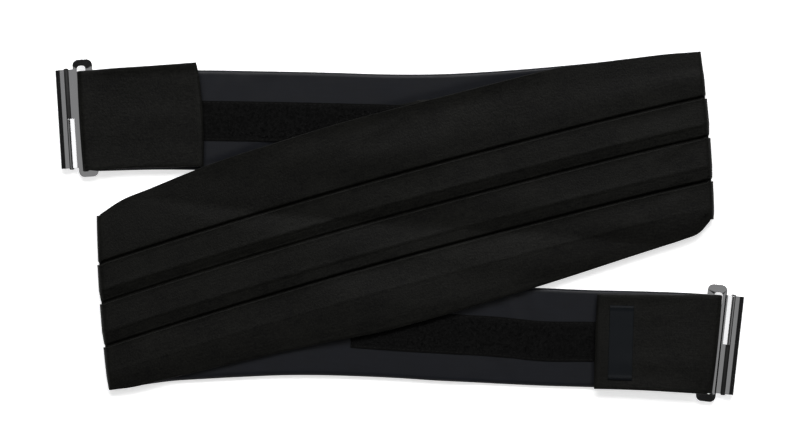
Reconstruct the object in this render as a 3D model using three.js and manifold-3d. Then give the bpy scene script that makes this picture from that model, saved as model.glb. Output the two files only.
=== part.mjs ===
// A black pleated waist sash, lying flat and folded into a Z.
// The pleated front lies on top, face up and slanting. Both its ends are folded behind it, face down,
// and run on as two straps. Each strap goes round the bar of a metal clasp half, and its end is turned
// back face up as a tab, held by hook and loop tape.
//
// Millimetres, +Z up. The floor is z = 0 and the origin lies under the middle of the folded sash.
// +X runs to the right and +Y away, as the sash is seen from above.
//
// A cloth is lofted through rows. A row crosses the cloth from its top edge to its bottom edge, and a
// point on it is given by v, the distance from the top edge, and n, the distance outwards through the
// cloth on its face side, from the surface that lies against the lining.
import * as THREE from "three";
import { mergeVertices } from "three/addons/utils/BufferGeometryUtils.js";
import Module from "manifold-3d";

const wasm = await Module();
wasm.setup();

// Cloth thicknesses, and the air kept between two pieces.
const GAP = 0.3;
const PLY = 1.0; // one layer of the pleated cloth
const POCKET_GAP = 0.3; // the air inside a pleat
const PLEATED = 2 * PLY + POCKET_GAP; // where a pleat lies over the cloth behind it
const SINGLE = 1.3; // the pleated cloth where it is one layer
const LINING = 1.0;
const STRAP = 1.4;
const TAPE = 1.0;
const LABEL = 0.6;
const LINING_INSET = 0.4; // the face turns over the lining's edge
const EDGE = 0.6; // the rounding of a cloth's edge

// Heights. A level is the height of the surface that the face cloth shares with its lining.
const TAIL_LEVEL = PLEATED;
const PANEL_LEVEL = TAIL_LEVEL + 2 * (GAP + LINING) + GAP;
const FOLD_HEIGHT = (TAIL_LEVEL + PANEL_LEVEL) / 2;
const FOLD_RADIUS = (PANEL_LEVEL - TAIL_LEVEL) / 2;
const TAPE_HEIGHT = STRAP + GAP + LINING + GAP;
const HOOK_HEIGHT = TAPE_HEIGHT + TAPE + GAP;
const TAB_LEVEL = HOOK_HEIGHT + TAPE + GAP;
const LOOP_HEIGHT = (STRAP + TAB_LEVEL) / 2;
const LOOP_RADIUS = (TAB_LEVEL - STRAP) / 2;

// The pleated front. Its pleat lines are shallow arcs: y = rise + slope x - bow x².
const PLEAT_SLOPE = 0.272;
const PLEAT_BOW = 0.000151;
const PLEAT_RISES = [31.0, 7.4, -18.6];
const POCKET_DEPTH = 17.5;
const POCKET_SHARE = 0.62; // the most of its own band that a pocket takes
const STEP_DOWN = 3; // the slope where a pleat's hidden layers end
const NOSE = 0.4; // how far a pleat's folded edge stands over
const FOLD_BOW = 1.3; // how far a folded edge bows out in its middle
const LOOP_BOW = 0.4; // the same where a strap goes round its clasp
const SEAM_THIN = STRAP / PLEATED; // the share of its thickness that the front keeps at a strap's seam
const SEAM_REACH = [4, 30];

// Each row of the front: x and y of its top edge, then of its bottom edge, from the left fold to the right.
const PANEL_ROWS = [
  // topX, topY, bottomX, bottomY
  [-175.3, 6.6, -168.1, -96.2],
  [-163.9, 14.2, -157.0, -94.8],
  [-146.4, 21.5, -140.0, -90.7],
  [-128.8, 28.8, -122.5, -86.6],
  [-110.0, 36.2, -104.0, -82.2],
  [-92.0, 42.7, -86.0, -78.0],
  [-74.0, 48.6, -68.0, -73.9],
  [-55.0, 54.6, -49.0, -69.8],
  [-36.0, 60.4, -30.0, -66.2],
  [-17.0, 65.6, -11.0, -62.5],
  [2.0, 70.5, 8.0, -57.6],
  [21.0, 75.3, 27.0, -52.3],
  [40.8, 80.3, 47.0, -46.4],
  [59.0, 84.8, 65.0, -40.8],
  [76.0, 88.9, 82.5, -35.4],
  [93.5, 92.4, 100.0, -29.8],
  [111.0, 94.4, 118.0, -23.9],
  [128.5, 96.7, 136.0, -18.0],
  [146.0, 99.0, 154.0, -12.2],
  [156.5, 100.2, 165.0, -8.6],
  [167.0, 101.0, 175.6, -4.0],
  [173.4, 101.4, 181.0, 2.2],
];

// Each row of the upper tail, from the right fold to the seam of the left strap.
const UPPER_TAIL_ROWS = [
  [173.4, 101.7, 181.0, 4.4],
  [158.0, 100.2, 164.0, 8.2],
  [140.3, 98.4, 145.0, 12.9],
  [116.9, 95.6, 121.0, 18.6],
  [93.5, 93.3, 97.0, 23.2],
  [70.1, 91.3, 73.0, 26.8],
  [46.7, 89.7, 49.0, 29.4],
  [23.3, 88.6, 25.0, 31.0],
  [0.0, 88.4, 1.0, 31.9],
  [-20.0, 88.8, -19.5, 32.2],
  [-38.0, 89.4, -37.7, 32.3],
  [-57.0, 89.9, -57.0, 32.3],
];

// Each row of the lower tail, from the left fold to the seam of the right strap.
const LOWER_TAIL_ROWS = [
  [-175.3, 5.0, -168.1, -96.4],
  [-158.0, 1.6, -152.2, -93.8],
  [-140.5, -3.0, -136.0, -91.5],
  [-117.1, -8.8, -114.0, -90.0],
  [-93.7, -14.6, -91.0, -88.8],
  [-70.3, -19.8, -68.0, -87.9],
  [-46.9, -24.2, -45.0, -87.9],
  [-23.5, -28.0, -22.0, -88.6],
  [0.0, -31.0, 1.0, -89.7],
  [20.0, -33.2, 20.5, -91.0],
  [39.0, -34.7, 39.2, -91.9],
  [57.8, -35.7, 57.8, -92.9],
];

// The straps' lower runs, from the seam to the line where each starts round its clasp.
const LEFT_STRAP_ROWS = [
  [-57.0, 89.9, -57.0, 32.3],
  [-85.0, 90.4, -85.0, 32.2],
  [-114.0, 90.9, -114.0, 32.4],
  [-145.0, 90.8, -144.0, 32.6],
  [-170.0, 90.6, -168.0, 32.0],
  [-185.1, 90.4, -181.5, 31.6],
];
const RIGHT_STRAP_ROWS = [
  [57.8, -35.7, 57.8, -92.9],
  [81.8, -36.7, 81.8, -94.0],
  [111.0, -37.9, 111.0, -94.9],
  [140.0, -38.6, 140.0, -96.0],
  [168.0, -39.6, 166.0, -97.4],
  [183.8, -40.6, 178.9, -98.2],
];

// The tabs, from the line over the clasp's bar to the free end.
const LEFT_TAB_ROWS = [
  [-185.1, 90.4, -181.5, 32.3],
  [-179.0, 90.9, -175.3, 31.7],
  [-170.0, 91.7, -166.0, 32.8],
  [-145.0, 93.4, -140.5, 33.7],
  [-126.0, 94.8, -121.6, 34.2],
  [-125.0, 94.9, -120.6, 34.2],
  [-119.5, 95.3, -115.0, 34.4],
];
const RIGHT_TAB_ROWS = [
  [183.8, -40.8, 178.9, -98.9],
  [177.0, -40.3, 172.8, -98.4],
  [168.0, -40.6, 165.0, -97.9],
  [145.0, -40.5, 143.0, -96.6],
  [121.2, -40.2, 119.2, -95.8],
  [120.2, -40.2, 118.2, -95.8],
  [115.2, -40.1, 113.2, -95.7],
];
const HEM = 0.4; // how much thicker the hem at a tab's free end is
const HEM_ROWS = 2;

// The loop tapes on the linings: top edge and bottom edge in each row.
const LEFT_TAPE_ROWS = [
  [-172.0, 74.0, -172.0, 50.6],
  [-114.0, 73.0, -114.0, 49.6],
  [-58.0, 72.0, -58.0, 48.6],
  [-18.0, 71.0, -18.0, 47.6],
  [4.0, 70.4, 4.0, 47.0],
];
const RIGHT_TAPE_ROWS = [
  [168.0, -57.6, 168.0, -81.0],
  [111.0, -56.4, 111.0, -79.8],
  [82.0, -56.0, 82.0, -79.4],
  [58.0, -53.6, 58.0, -77.0],
  [35.0, -52.2, 35.0, -75.6],
  [0.0, -50.2, 0.0, -73.6],
  [-29.0, -48.2, -29.0, -71.6],
];

// The hook patches inside the tabs.
const PATCH_LENGTH = 40;
const PATCH_WIDTH = 23;
const PATCH_SHARE = 2 / 3; // where its middle lies, from the clasp to the tab's free end

// The label on the right tab.
const LABEL_WIDTH = 14;
const LABEL_LENGTH = 43.6;
const LABEL_AT = [128.9, -68.7];
const LABEL_TURN = -1.7;

// A clasp half: a frame that the strap goes round, and a hook plate with a tongue on half its length.
const FRAME_LENGTH = 69;
const FRAME_WIDTH = 11.6;
const FRAME_CORNER = 3.4;
const SLOT_LENGTH = 63;
const SLOT_FROM = -1.6;
const SLOT_TO = 3.4;
const SLOT_CORNER = 1.8;
const SHEET = 1.2;
const FRAME_BOTTOM = LOOP_HEIGHT - SHEET / 2;
const PLATE_LENGTH = 57.8;
const LEFT_CLASP = { x: -184.2, y: 62.8, turn: 3.6 };
const RIGHT_CLASP = { x: 182.3, y: -68.9, turn: 180 - 6.4 };
// The hook plate's middle line, outwards from the frame: across, then up. It dips, turns up and folds back.
const HOOK_LINE = [
  [4.9, LOOP_HEIGHT],
  [7.1, LOOP_HEIGHT],
  [7.4, 1.2],
  [13.8, 1.2],
  [15.4, 2.9],
  [13.0, 4.7],
  [10.7, 4.7],
];
// The tongue's outline, on the half of the plate that has one.
const TONGUE = [
  [4.9, LOOP_HEIGHT - 0.6],
  [7.0, LOOP_HEIGHT - 0.6],
  [8.5, 4.1],
  [9.8, 3.95],
  [10.3, 4.15],
  [8.75, 5.3],
  [8.35, 5.3],
  [6.0, LOOP_HEIGHT + 0.6],
  [4.9, LOOP_HEIGHT + 0.6],
];
const PIN_RADIUS = 0.75;
const PIN_LENGTH = 59.4;
const PIN_AT = [10.4, 3.0];
const PIN_SIDES = 10;

// How the front lies on what is under it: it rises over the tapes and sinks between the tails.
const TAPE_RISE = 1.5;
const TAPE_REACH = [14, 40];
const TAPE_END_REACH = [2, 40];
const SINK = 1.7;
const SINK_REACH = [10, 40];
const FOLD_REACH = [4, 40];

function smooth(low, high, value) {
  const t = Math.min(1, Math.max(0, (value - low) / (high - low)));
  return t * t * (3 - 2 * t);
}

function between(line, other, t) {
  return line.map((value, k) => value + (other[k] - value) * t);
}

// The y of a table's top edge (column 0) or bottom edge (column 2) at a given x.
function edgeAt(rows, column, x) {
  const sorted = [...rows].sort((a, b) => a[column] - b[column]);
  let k = 1;
  while (k < sorted.length - 1 && sorted[k][column] < x) k++;
  const [a, b] = [sorted[k - 1], sorted[k]];
  const t = Math.min(1, Math.max(0, (x - a[column]) / (b[column] - a[column])));
  return a[column + 1] + (b[column + 1] - a[column + 1]) * t;
}

function tapeRise(tape, x, y, beyondEnd) {
  const middle = (edgeAt(tape, 0, x) + edgeAt(tape, 2, x)) / 2;
  const across = 1 - smooth(...TAPE_REACH, Math.abs(y - middle));
  return TAPE_RISE * across * (1 - smooth(...TAPE_END_REACH, beyondEnd));
}

// The level of the front at a point.
function panelLevel(x, y) {
  const upperEnd = LEFT_TAPE_ROWS[LEFT_TAPE_ROWS.length - 1][0];
  const lowerEnd = RIGHT_TAPE_ROWS[RIGHT_TAPE_ROWS.length - 1][0];
  const rise =
    tapeRise(LEFT_TAPE_ROWS, x, y, x - upperEnd) +
    tapeRise(RIGHT_TAPE_ROWS, x, y, lowerEnd - x);
  const clear = Math.min(
    edgeAt(UPPER_TAIL_ROWS, 2, x) - y,
    y - edgeAt(LOWER_TAIL_ROWS, 0, x),
  );
  const fromFolds = Math.min(
    x - PANEL_ROWS[0][0],
    PANEL_ROWS[PANEL_ROWS.length - 1][0] - x,
  );
  const sink = SINK * smooth(...SINK_REACH, clear);
  return PANEL_LEVEL + (rise - sink) * smooth(...FOLD_REACH, fromFolds);
}

// A row that lies flat: side is 1 with the face up and -1 with the face down.
function flatRow([topX, topY, bottomX, bottomY], side, level, thin = 1) {
  const top = new THREE.Vector2(topX, topY);
  const bottom = new THREE.Vector2(bottomX, bottomY);
  const width = top.distanceTo(bottom);
  const at = (v, n) => {
    const p = top.clone().lerp(bottom, v / width);
    const out = n > 0 ? n * thin : n;
    return new THREE.Vector3(p.x, p.y, level(p.x, p.y) + side * out);
  };
  return { width, at, top, bottom };
}

// Rows round a fold, over a line from top to bottom, from the angle turnFrom to turnTo off straight up.
function foldRows(line, outwards, height, radius, bow, turnFrom, turnTo, steps) {
  const flat = flatRow(line, 1, () => height);
  const along = flat.bottom.clone().sub(flat.top).normalize();
  const out = new THREE.Vector2(-along.y, along.x);
  if (out.x * outwards < 0) out.negate();
  const rows = [];
  for (let k = 1; k < steps; k++) {
    const turn = THREE.MathUtils.lerp(turnFrom, turnTo, k / steps);
    const at = (v, n) => {
      const p = flat.at(v, 0);
      const share = v / flat.width;
      const reach = (radius + n + 4 * bow * share * (1 - share)) * Math.sin(turn);
      p.x += out.x * reach;
      p.y += out.y * reach;
      p.z += (radius + n) * Math.cos(turn);
      return p;
    };
    rows.push({ width: flat.width, at, top: flat.top, bottom: flat.bottom });
  }
  return rows;
}

// Where the pleat lines cross a row of the front, as shares of its width.
function pleatShares(row) {
  return PLEAT_RISES.map((rise) => {
    let share = 0.5;
    for (let k = 0; k < 4; k++) {
      const x = THREE.MathUtils.lerp(row.top.x, row.bottom.x, share);
      const y = rise + PLEAT_SLOPE * x - PLEAT_BOW * x * x;
      share = (y - row.top.y) / (row.bottom.y - row.top.y);
    }
    return share;
  });
}

// Across-the-cloth distances of a row's pleats: where each starts, how deep its pocket is, and the edge.
function pleatsOf(row) {
  const starts = row.shares.map((share) => share * row.width);
  const ends = [...starts.slice(1), row.width];
  const depths = starts.map((v, k) =>
    Math.min(POCKET_DEPTH, POCKET_SHARE * (ends[k] - v)),
  );
  return { starts, ends, depths };
}

// The v of each point on the side of the cloth that lies against the lining.
function innerStops(row) {
  const { starts, depths } = pleatsOf(row);
  const first = starts[0];
  const last = starts[2] + depths[2];
  return [
    first / 3,
    (2 * first) / 3,
    ...starts.flatMap((v, k) => [v, v + depths[k]]),
    (last + row.width) / 2,
  ];
}

// The pleated cloth's outline in a row. Each pleat's folded edge lies over the cloth above it.
function pleatedOutline(row) {
  const { starts, depths } = pleatsOf(row);
  const stops = innerStops(row);
  const outline = [
    [EDGE, 0],
    [0, SINGLE / 2],
    [EDGE, SINGLE],
    [stops[0], SINGLE],
    [stops[1], SINGLE],
  ];
  starts.forEach((v, k) => {
    const end = v + depths[k];
    outline.push(
      [v, PLY],
      [end, PLY],
      [end, PLY + POCKET_GAP],
      [v + NOSE, PLY + POCKET_GAP],
      [v - NOSE, PLY + POCKET_GAP + PLY / 2],
      [v + NOSE, PLEATED],
      [end, PLEATED],
      [end + STEP_DOWN, SINGLE],
    );
  });
  outline.push([row.width - EDGE, SINGLE], [row.width, SINGLE / 2], [row.width - EDGE, 0]);
  for (const v of [...stops].reverse()) outline.push([v, 0]);
  return outline;
}

function liningOutline(row) {
  const stops = innerStops(row);
  const edges = [LINING_INSET, ...stops, row.width - LINING_INSET];
  const outer = edges.map((v) => [v, -GAP]);
  const inner = [...edges].reverse().map((v) => [v, -GAP - LINING]);
  return [...outer, ...inner];
}

function stripOutline(width, from, to) {
  const middle = (from + to) / 2;
  return [
    [EDGE, from],
    [0, middle],
    [EDGE, to],
    [width / 2, to],
    [width - EDGE, to],
    [width, middle],
    [width - EDGE, from],
    [width / 2, from],
  ];
}

// A closed solid through rows, each with its outline. Its two ends are capped.
function loft(rows, outlineOf) {
  const outlines = rows.map(outlineOf);
  const count = outlines[0].length;
  const positions = [];
  rows.forEach((row, r) => {
    for (const [v, n] of outlines[r]) positions.push(...row.at(v, n).toArray());
  });
  const faces = [];
  for (let r = 0; r < rows.length - 1; r++) {
    for (let k = 0; k < count; k++) {
      const next = (k + 1) % count;
      const [a, b] = [r * count + k, r * count + next];
      const [c, d] = [a + count, b + count];
      // Layers that lie on each other are split along the same diagonals.
      if (outlines[r][next][0] > outlines[r][k][0]) faces.push([a, c, b], [b, c, d]);
      else faces.push([a, c, d], [a, d, b]);
    }
  }
  const cap = (r, flip) => {
    const flat = outlines[r].map(([v, n]) => new THREE.Vector2(v, n));
    const clockwise = THREE.ShapeUtils.isClockWise(flat);
    for (const [a, b, c] of THREE.ShapeUtils.triangulateShape(flat, [])) {
      const face = [a, b, c].map((i) => r * count + i);
      faces.push(flip === clockwise ? face : face.reverse());
    }
  };
  cap(0, false);
  cap(rows.length - 1, true);
  return closedGeometry(positions, faces);
}

// Faces are turned to point outwards as one, from the sign of the volume that they enclose.
function closedGeometry(positions, faces) {
  const point = (i) => new THREE.Vector3().fromArray(positions, 3 * i);
  const volume = faces.reduce(
    (sum, [a, b, c]) => sum + point(a).dot(point(b).cross(point(c))),
    0,
  );
  const index = volume < 0 ? faces.flatMap((f) => [...f].reverse()) : faces.flat();
  const geometry = new THREE.BufferGeometry();
  geometry.setAttribute("position", new THREE.Float32BufferAttribute(positions, 3));
  geometry.setIndex(index);
  return geometry;
}

function toSolid(geometry) {
  const bare = geometry.clone();
  bare.deleteAttribute("normal");
  bare.deleteAttribute("uv");
  const merged = mergeVertices(bare);
  return new wasm.Manifold(
    new wasm.Mesh({
      numProp: 3,
      vertProperties: merged.getAttribute("position").array,
      triVerts: new Uint32Array(merged.index.array),
    }),
  );
}

function fromSolid(solid) {
  const { vertProperties, triVerts } = solid.getMesh();
  const geometry = new THREE.BufferGeometry();
  geometry.setAttribute("position", new THREE.Float32BufferAttribute(vertProperties, 3));
  geometry.setIndex([...triVerts]);
  return geometry;
}

function roundedRectangle(path, fromX, toX, halfLength, corner) {
  path.moveTo(fromX + corner, -halfLength);
  path.lineTo(toX - corner, -halfLength);
  path.absarc(toX - corner, -halfLength + corner, corner, -Math.PI / 2, 0);
  path.lineTo(toX, halfLength - corner);
  path.absarc(toX - corner, halfLength - corner, corner, 0, Math.PI / 2);
  path.lineTo(fromX + corner, halfLength);
  path.absarc(fromX + corner, halfLength - corner, corner, Math.PI / 2, Math.PI);
  path.lineTo(fromX, -halfLength + corner);
  path.absarc(fromX + corner, -halfLength + corner, corner, Math.PI, 1.5 * Math.PI);
  return path;
}

// A bent sheet's outline: its middle line moved out by half its thickness on both sides.
function sheetOutline(line, thickness) {
  const points = line.map(([x, y]) => new THREE.Vector2(x, y));
  const normals = points.slice(1).map((p, k) => {
    const d = p.clone().sub(points[k]).normalize();
    return new THREE.Vector2(-d.y, d.x);
  });
  const shifted = (side) =>
    points.map((p, k) => {
      const before = normals[Math.max(0, k - 1)];
      const after = normals[Math.min(normals.length - 1, k)];
      const middle = before.clone().add(after).normalize();
      const reach = (side * thickness) / 2 / middle.dot(after);
      return p.clone().addScaledVector(middle, reach);
    });
  return [...shifted(1), ...shifted(-1).reverse()];
}

// An outline drawn across and up, drawn out along the clasp from one y to another.
function alongClasp(outline, fromY, toY) {
  const shape = new THREE.Shape(outline);
  const geometry = new THREE.ExtrudeGeometry(shape, { depth: toY - fromY, bevelEnabled: false });
  geometry.rotateX(Math.PI / 2);
  geometry.translate(0, toY, 0);
  return geometry;
}

function claspGeometry() {
  const half = FRAME_WIDTH / 2;
  const shape = roundedRectangle(
    new THREE.Shape(), -half, half, FRAME_LENGTH / 2, FRAME_CORNER,
  );
  shape.holes.push(
    roundedRectangle(new THREE.Path(), SLOT_FROM, SLOT_TO, SLOT_LENGTH / 2, SLOT_CORNER),
  );
  const frame = new THREE.ExtrudeGeometry(shape, {
    depth: SHEET, bevelEnabled: false, curveSegments: 5,
  });
  frame.translate(0, 0, FRAME_BOTTOM);
  const end = PLATE_LENGTH / 2;
  const hook = alongClasp(sheetOutline(HOOK_LINE, SHEET), -end, end);
  const tongue = alongClasp(TONGUE.map(([x, y]) => new THREE.Vector2(x, y)), 0, end);
  return fromSolid(toSolid(frame).add(toSolid(hook)).add(toSolid(tongue)));
}

function pinGeometry() {
  const geometry = new THREE.CylinderGeometry(PIN_RADIUS, PIN_RADIUS, PIN_LENGTH, PIN_SIDES);
  geometry.translate(PIN_AT[0], 0, PIN_AT[1]);
  return geometry;
}

const materials = {
  satin: new THREE.MeshStandardMaterial({ color: 0x1b1b18, roughness: 0.6, metalness: 0 }),
  lining: new THREE.MeshStandardMaterial({ color: 0x25272d, roughness: 0.4, metalness: 0 }),
  tape: new THREE.MeshStandardMaterial({ color: 0x0d0d0d, roughness: 0.95, metalness: 0 }),
  label: new THREE.MeshStandardMaterial({ color: 0x1a1f26, roughness: 0.45, metalness: 0 }),
  metal: new THREE.MeshStandardMaterial({ color: 0xb9babc, roughness: 0.15, metalness: 1 }),
  dark_metal: new THREE.MeshStandardMaterial({ color: 0x1c1c1d, roughness: 0.35, metalness: 1 }),
};

function named(name, geometry, material) {
  const mesh = new THREE.Mesh(geometry, material);
  mesh.name = name;
  return mesh;
}

// How much of its thickness a tail keeps at x: its pleats are pressed thin towards the strap's seam.
function thinAt(x, seam) {
  return THREE.MathUtils.lerp(SEAM_THIN, 1, smooth(...SEAM_REACH, Math.abs(x - seam)));
}

function tailRows(table) {
  const seam = table[table.length - 1][0];
  return table.map((line) => {
    const thin = thinAt(line[0], seam);
    return flatRow(line, -1, () => TAIL_LEVEL * thin, thin);
  });
}

// All the rows of the pleated cloth, from the left strap's seam round both folds to the right strap's.
function sashRows() {
  const panel = PANEL_ROWS.map((line) => flatRow(line, 1, panelLevel));
  for (const row of panel) row.shares = pleatShares(row);
  const [left, right] = [panel[0], panel[panel.length - 1]];
  const fold = (line, outwards, shares) =>
    foldRows(line, outwards, FOLD_HEIGHT, FOLD_RADIUS, FOLD_BOW, 0, Math.PI, 5).map((row) => ({
      ...row, shares,
    }));
  const leftLine = between(PANEL_ROWS[0], LOWER_TAIL_ROWS[0], 0.5);
  const rightLine = between(PANEL_ROWS[PANEL_ROWS.length - 1], UPPER_TAIL_ROWS[0], 0.5);
  const upper = tailRows(UPPER_TAIL_ROWS);
  const lower = tailRows(LOWER_TAIL_ROWS);
  for (const row of upper) row.shares = right.shares;
  for (const row of lower) row.shares = left.shares;
  return [
    ...upper.reverse(),
    ...fold(rightLine, 1, right.shares).reverse(),
    ...panel.reverse(),
    ...fold(leftLine, -1, left.shares),
    ...lower,
  ];
}

function shiftRow(row, dx) {
  const at = (v, n) => row.at(v, n).add(new THREE.Vector3(dx, 0, 0));
  return { ...row, at };
}

// A strap: along the floor, round the clasp's bar and back as a tab with a hem.
function strapGeometry(strapTable, tabTable, outwards) {
  const run = strapTable.map((line) => flatRow(line, -1, () => STRAP));
  run[0] = shiftRow(run[0], outwards * GAP);
  const loopLine = strapTable[strapTable.length - 1];
  const loop = foldRows(loopLine, outwards, LOOP_HEIGHT, LOOP_RADIUS, LOOP_BOW, Math.PI, 0, 8);
  const tab = tabTable.map((line, k) => {
    const row = flatRow(line, 1, () => TAB_LEVEL);
    row.extra = k >= tabTable.length - HEM_ROWS ? HEM : 0;
    return row;
  });
  const rows = [...run, ...loop, ...tab];
  return loft(rows, (row) => stripOutline(row.width, 0, STRAP + (row.extra ?? 0)));
}

// The lining runs under the tabs on both sides, and stops short of the clasps' bars.
function liningGeometry(sash) {
  const strapRows = (table, shares) =>
    table.slice(1, -1).map((line) => ({ ...flatRow(line, -1, () => STRAP), shares }));
  const first = strapRows(LEFT_STRAP_ROWS, sash[0].shares).reverse();
  const last = strapRows(RIGHT_STRAP_ROWS, sash[sash.length - 1].shares);
  return loft([...first, ...sash, ...last], liningOutline);
}

// A tape on a tail's lining. Its height follows the cloth, which is thicker where the pleats are.
function tapeGeometry(table, tail, outwards) {
  const seam = tail[tail.length - 1][0];
  const level = (x) => {
    const thin = outwards * (x - seam) > 0 ? SEAM_THIN : thinAt(x, seam);
    return TAIL_LEVEL * thin + GAP + LINING + GAP;
  };
  const lines = table.slice(1).flatMap((line, k) =>
    [1 / 3, 2 / 3, 1].map((t) => between(table[k], line, t)),
  );
  const rows = [table[0], ...lines].map((line) => flatRow(line, 1, level));
  return loft(rows, (row) => stripOutline(row.width, 0, TAPE));
}

// A hook patch lies along its tab's middle line, nearer to the free end.
function patchGeometry(tabTable) {
  const [near, far] = [tabTable[0], tabTable[tabTable.length - 1]].map(
    ([topX, topY, bottomX, bottomY]) =>
      new THREE.Vector2((topX + bottomX) / 2, (topY + bottomY) / 2),
  );
  const centre = near.clone().lerp(far, PATCH_SHARE);
  const geometry = new THREE.BoxGeometry(PATCH_LENGTH, PATCH_WIDTH, TAPE);
  geometry.rotateZ(Math.atan((far.y - near.y) / (far.x - near.x)));
  geometry.translate(centre.x, centre.y, HOOK_HEIGHT + TAPE / 2);
  return geometry;
}

// A clasp half is drawn with its hook towards +X, so the left one is turned half round.
function placeClasp(mesh, { x, y, turn }) {
  mesh.position.set(x, y, 0);
  mesh.rotation.z = THREE.MathUtils.degToRad(turn + 180);
  return mesh;
}

const sash = sashRows();
const clasp = claspGeometry();
const pin = pinGeometry();
const label = new THREE.BoxGeometry(LABEL_WIDTH, LABEL_LENGTH, LABEL);
label.rotateZ(THREE.MathUtils.degToRad(LABEL_TURN));
label.translate(LABEL_AT[0], LABEL_AT[1], TAB_LEVEL + STRAP + GAP + LABEL / 2);

const folded = new THREE.Group();
folded.add(
  named("pleated_front", loft(sash, pleatedOutline), materials.satin),
  named("lining", liningGeometry(sash), materials.lining),
  named("left_strap", strapGeometry(LEFT_STRAP_ROWS, LEFT_TAB_ROWS, -1), materials.satin),
  named("right_strap", strapGeometry(RIGHT_STRAP_ROWS, RIGHT_TAB_ROWS, 1), materials.satin),
  named("left_loop_tape", tapeGeometry(LEFT_TAPE_ROWS, UPPER_TAIL_ROWS, -1), materials.tape),
  named("right_loop_tape", tapeGeometry(RIGHT_TAPE_ROWS, LOWER_TAIL_ROWS, 1), materials.tape),
  named("left_hook_patch", patchGeometry(LEFT_TAB_ROWS), materials.tape),
  named("right_hook_patch", patchGeometry(RIGHT_TAB_ROWS), materials.tape),
  named("label", label, materials.label),
  placeClasp(named("left_clasp", clasp, materials.metal), LEFT_CLASP),
  placeClasp(named("right_clasp", clasp, materials.metal), RIGHT_CLASP),
  placeClasp(named("left_clasp_pin", pin, materials.dark_metal), LEFT_CLASP),
  placeClasp(named("right_clasp_pin", pin, materials.dark_metal), RIGHT_CLASP),
);

// The origin lies under the middle of the whole folded sash.
const middle = new THREE.Box3().setFromObject(folded, true).getCenter(new THREE.Vector3());
folded.position.set(-middle.x, -middle.y, 0);
const group = new THREE.Group();
group.add(folded);

export default group;
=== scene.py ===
"""A black pleated waist sash, folded flat into a Z, with its lining, loop tapes, tabs, label and clasps."""

import math

import bmesh
import bpy
import numpy as np
from bpy.props import FloatProperty, FloatVectorProperty, IntProperty, PointerProperty
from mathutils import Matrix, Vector, noise


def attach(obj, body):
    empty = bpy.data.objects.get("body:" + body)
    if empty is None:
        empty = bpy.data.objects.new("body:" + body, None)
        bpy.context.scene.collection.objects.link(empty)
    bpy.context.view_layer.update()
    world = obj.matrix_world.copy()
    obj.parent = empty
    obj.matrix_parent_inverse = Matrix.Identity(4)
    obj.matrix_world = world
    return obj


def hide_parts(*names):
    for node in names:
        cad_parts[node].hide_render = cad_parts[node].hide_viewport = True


bl_info = {
    "name": "Pleated waist sash",
    "version": (1, 0, 0),
    "blender": (4, 5, 0),
    "location": "View3D > Sidebar > Sash",
    "description": "Makes a folded pleated waist sash around its packed frame",
    "category": "Object",
}

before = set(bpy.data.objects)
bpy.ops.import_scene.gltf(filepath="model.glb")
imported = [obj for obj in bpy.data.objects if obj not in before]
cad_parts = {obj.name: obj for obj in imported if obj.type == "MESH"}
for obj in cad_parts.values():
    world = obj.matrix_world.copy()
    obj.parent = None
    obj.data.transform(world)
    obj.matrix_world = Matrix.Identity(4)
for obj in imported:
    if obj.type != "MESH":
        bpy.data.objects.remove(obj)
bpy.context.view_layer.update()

# All sizes below are millimetres, in the plane of the folded sash. MIDDLE is the origin in that plane.
MM = 0.001
MIDDLE = (-0.28, -0.883)

# The solids' heights. A level is the height of the surface that the face cloth shares with its lining.
GAP = 0.3
LINING_SPACE = 1.0
STRAP_SPACE = 1.4
TAPE_SPACE = 1.0
TAIL_LEVEL = 2.3
PANEL_LEVEL = TAIL_LEVEL + 2 * (GAP + LINING_SPACE) + GAP
FOLD_HEIGHT = (TAIL_LEVEL + PANEL_LEVEL) / 2
FOLD_RADIUS = (PANEL_LEVEL - TAIL_LEVEL) / 2
TAPE_HEIGHT = STRAP_SPACE + GAP + LINING_SPACE + GAP
HOOK_HEIGHT = TAPE_HEIGHT + TAPE_SPACE + GAP
TAB_LEVEL = HOOK_HEIGHT + TAPE_SPACE + GAP
LOOP_HEIGHT = (STRAP_SPACE + TAB_LEVEL) / 2
LOOP_RADIUS = (TAB_LEVEL - STRAP_SPACE) / 2

# The pleat lines are shallow arcs: y = rise + slope x - bow x².
PLEAT_SLOPE = 0.272
PLEAT_BOW = 0.000151
PLEAT_RISES = (30.05, 6.45, -19.55)
PLEAT_LIFT = (40, 175, 1.1)  # the lines curve up a little from the first x to the second, by this much

# The folds bow out at their middle, and keep this share of the space between their layers.
FOLD_BOW = 1.3
FOLD_SPREAD = 0.4
LOOP_BOW = 0.5  # the bow of the straps' loops round the clasps
FOLD_STEPS = 12
LOOP_STEPS = 16

# The tails thin out to this share near the straps' seams, between these distances from the seam.
SEAM_THIN = STRAP_SPACE / TAIL_LEVEL
SEAM_REACH = (4, 30)

# How far apart the rows of flatter cloth are, in row steps.
TAIL_STEP = 3
STRAP_STEP = 2
LINING_STEP = 1.4

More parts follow.
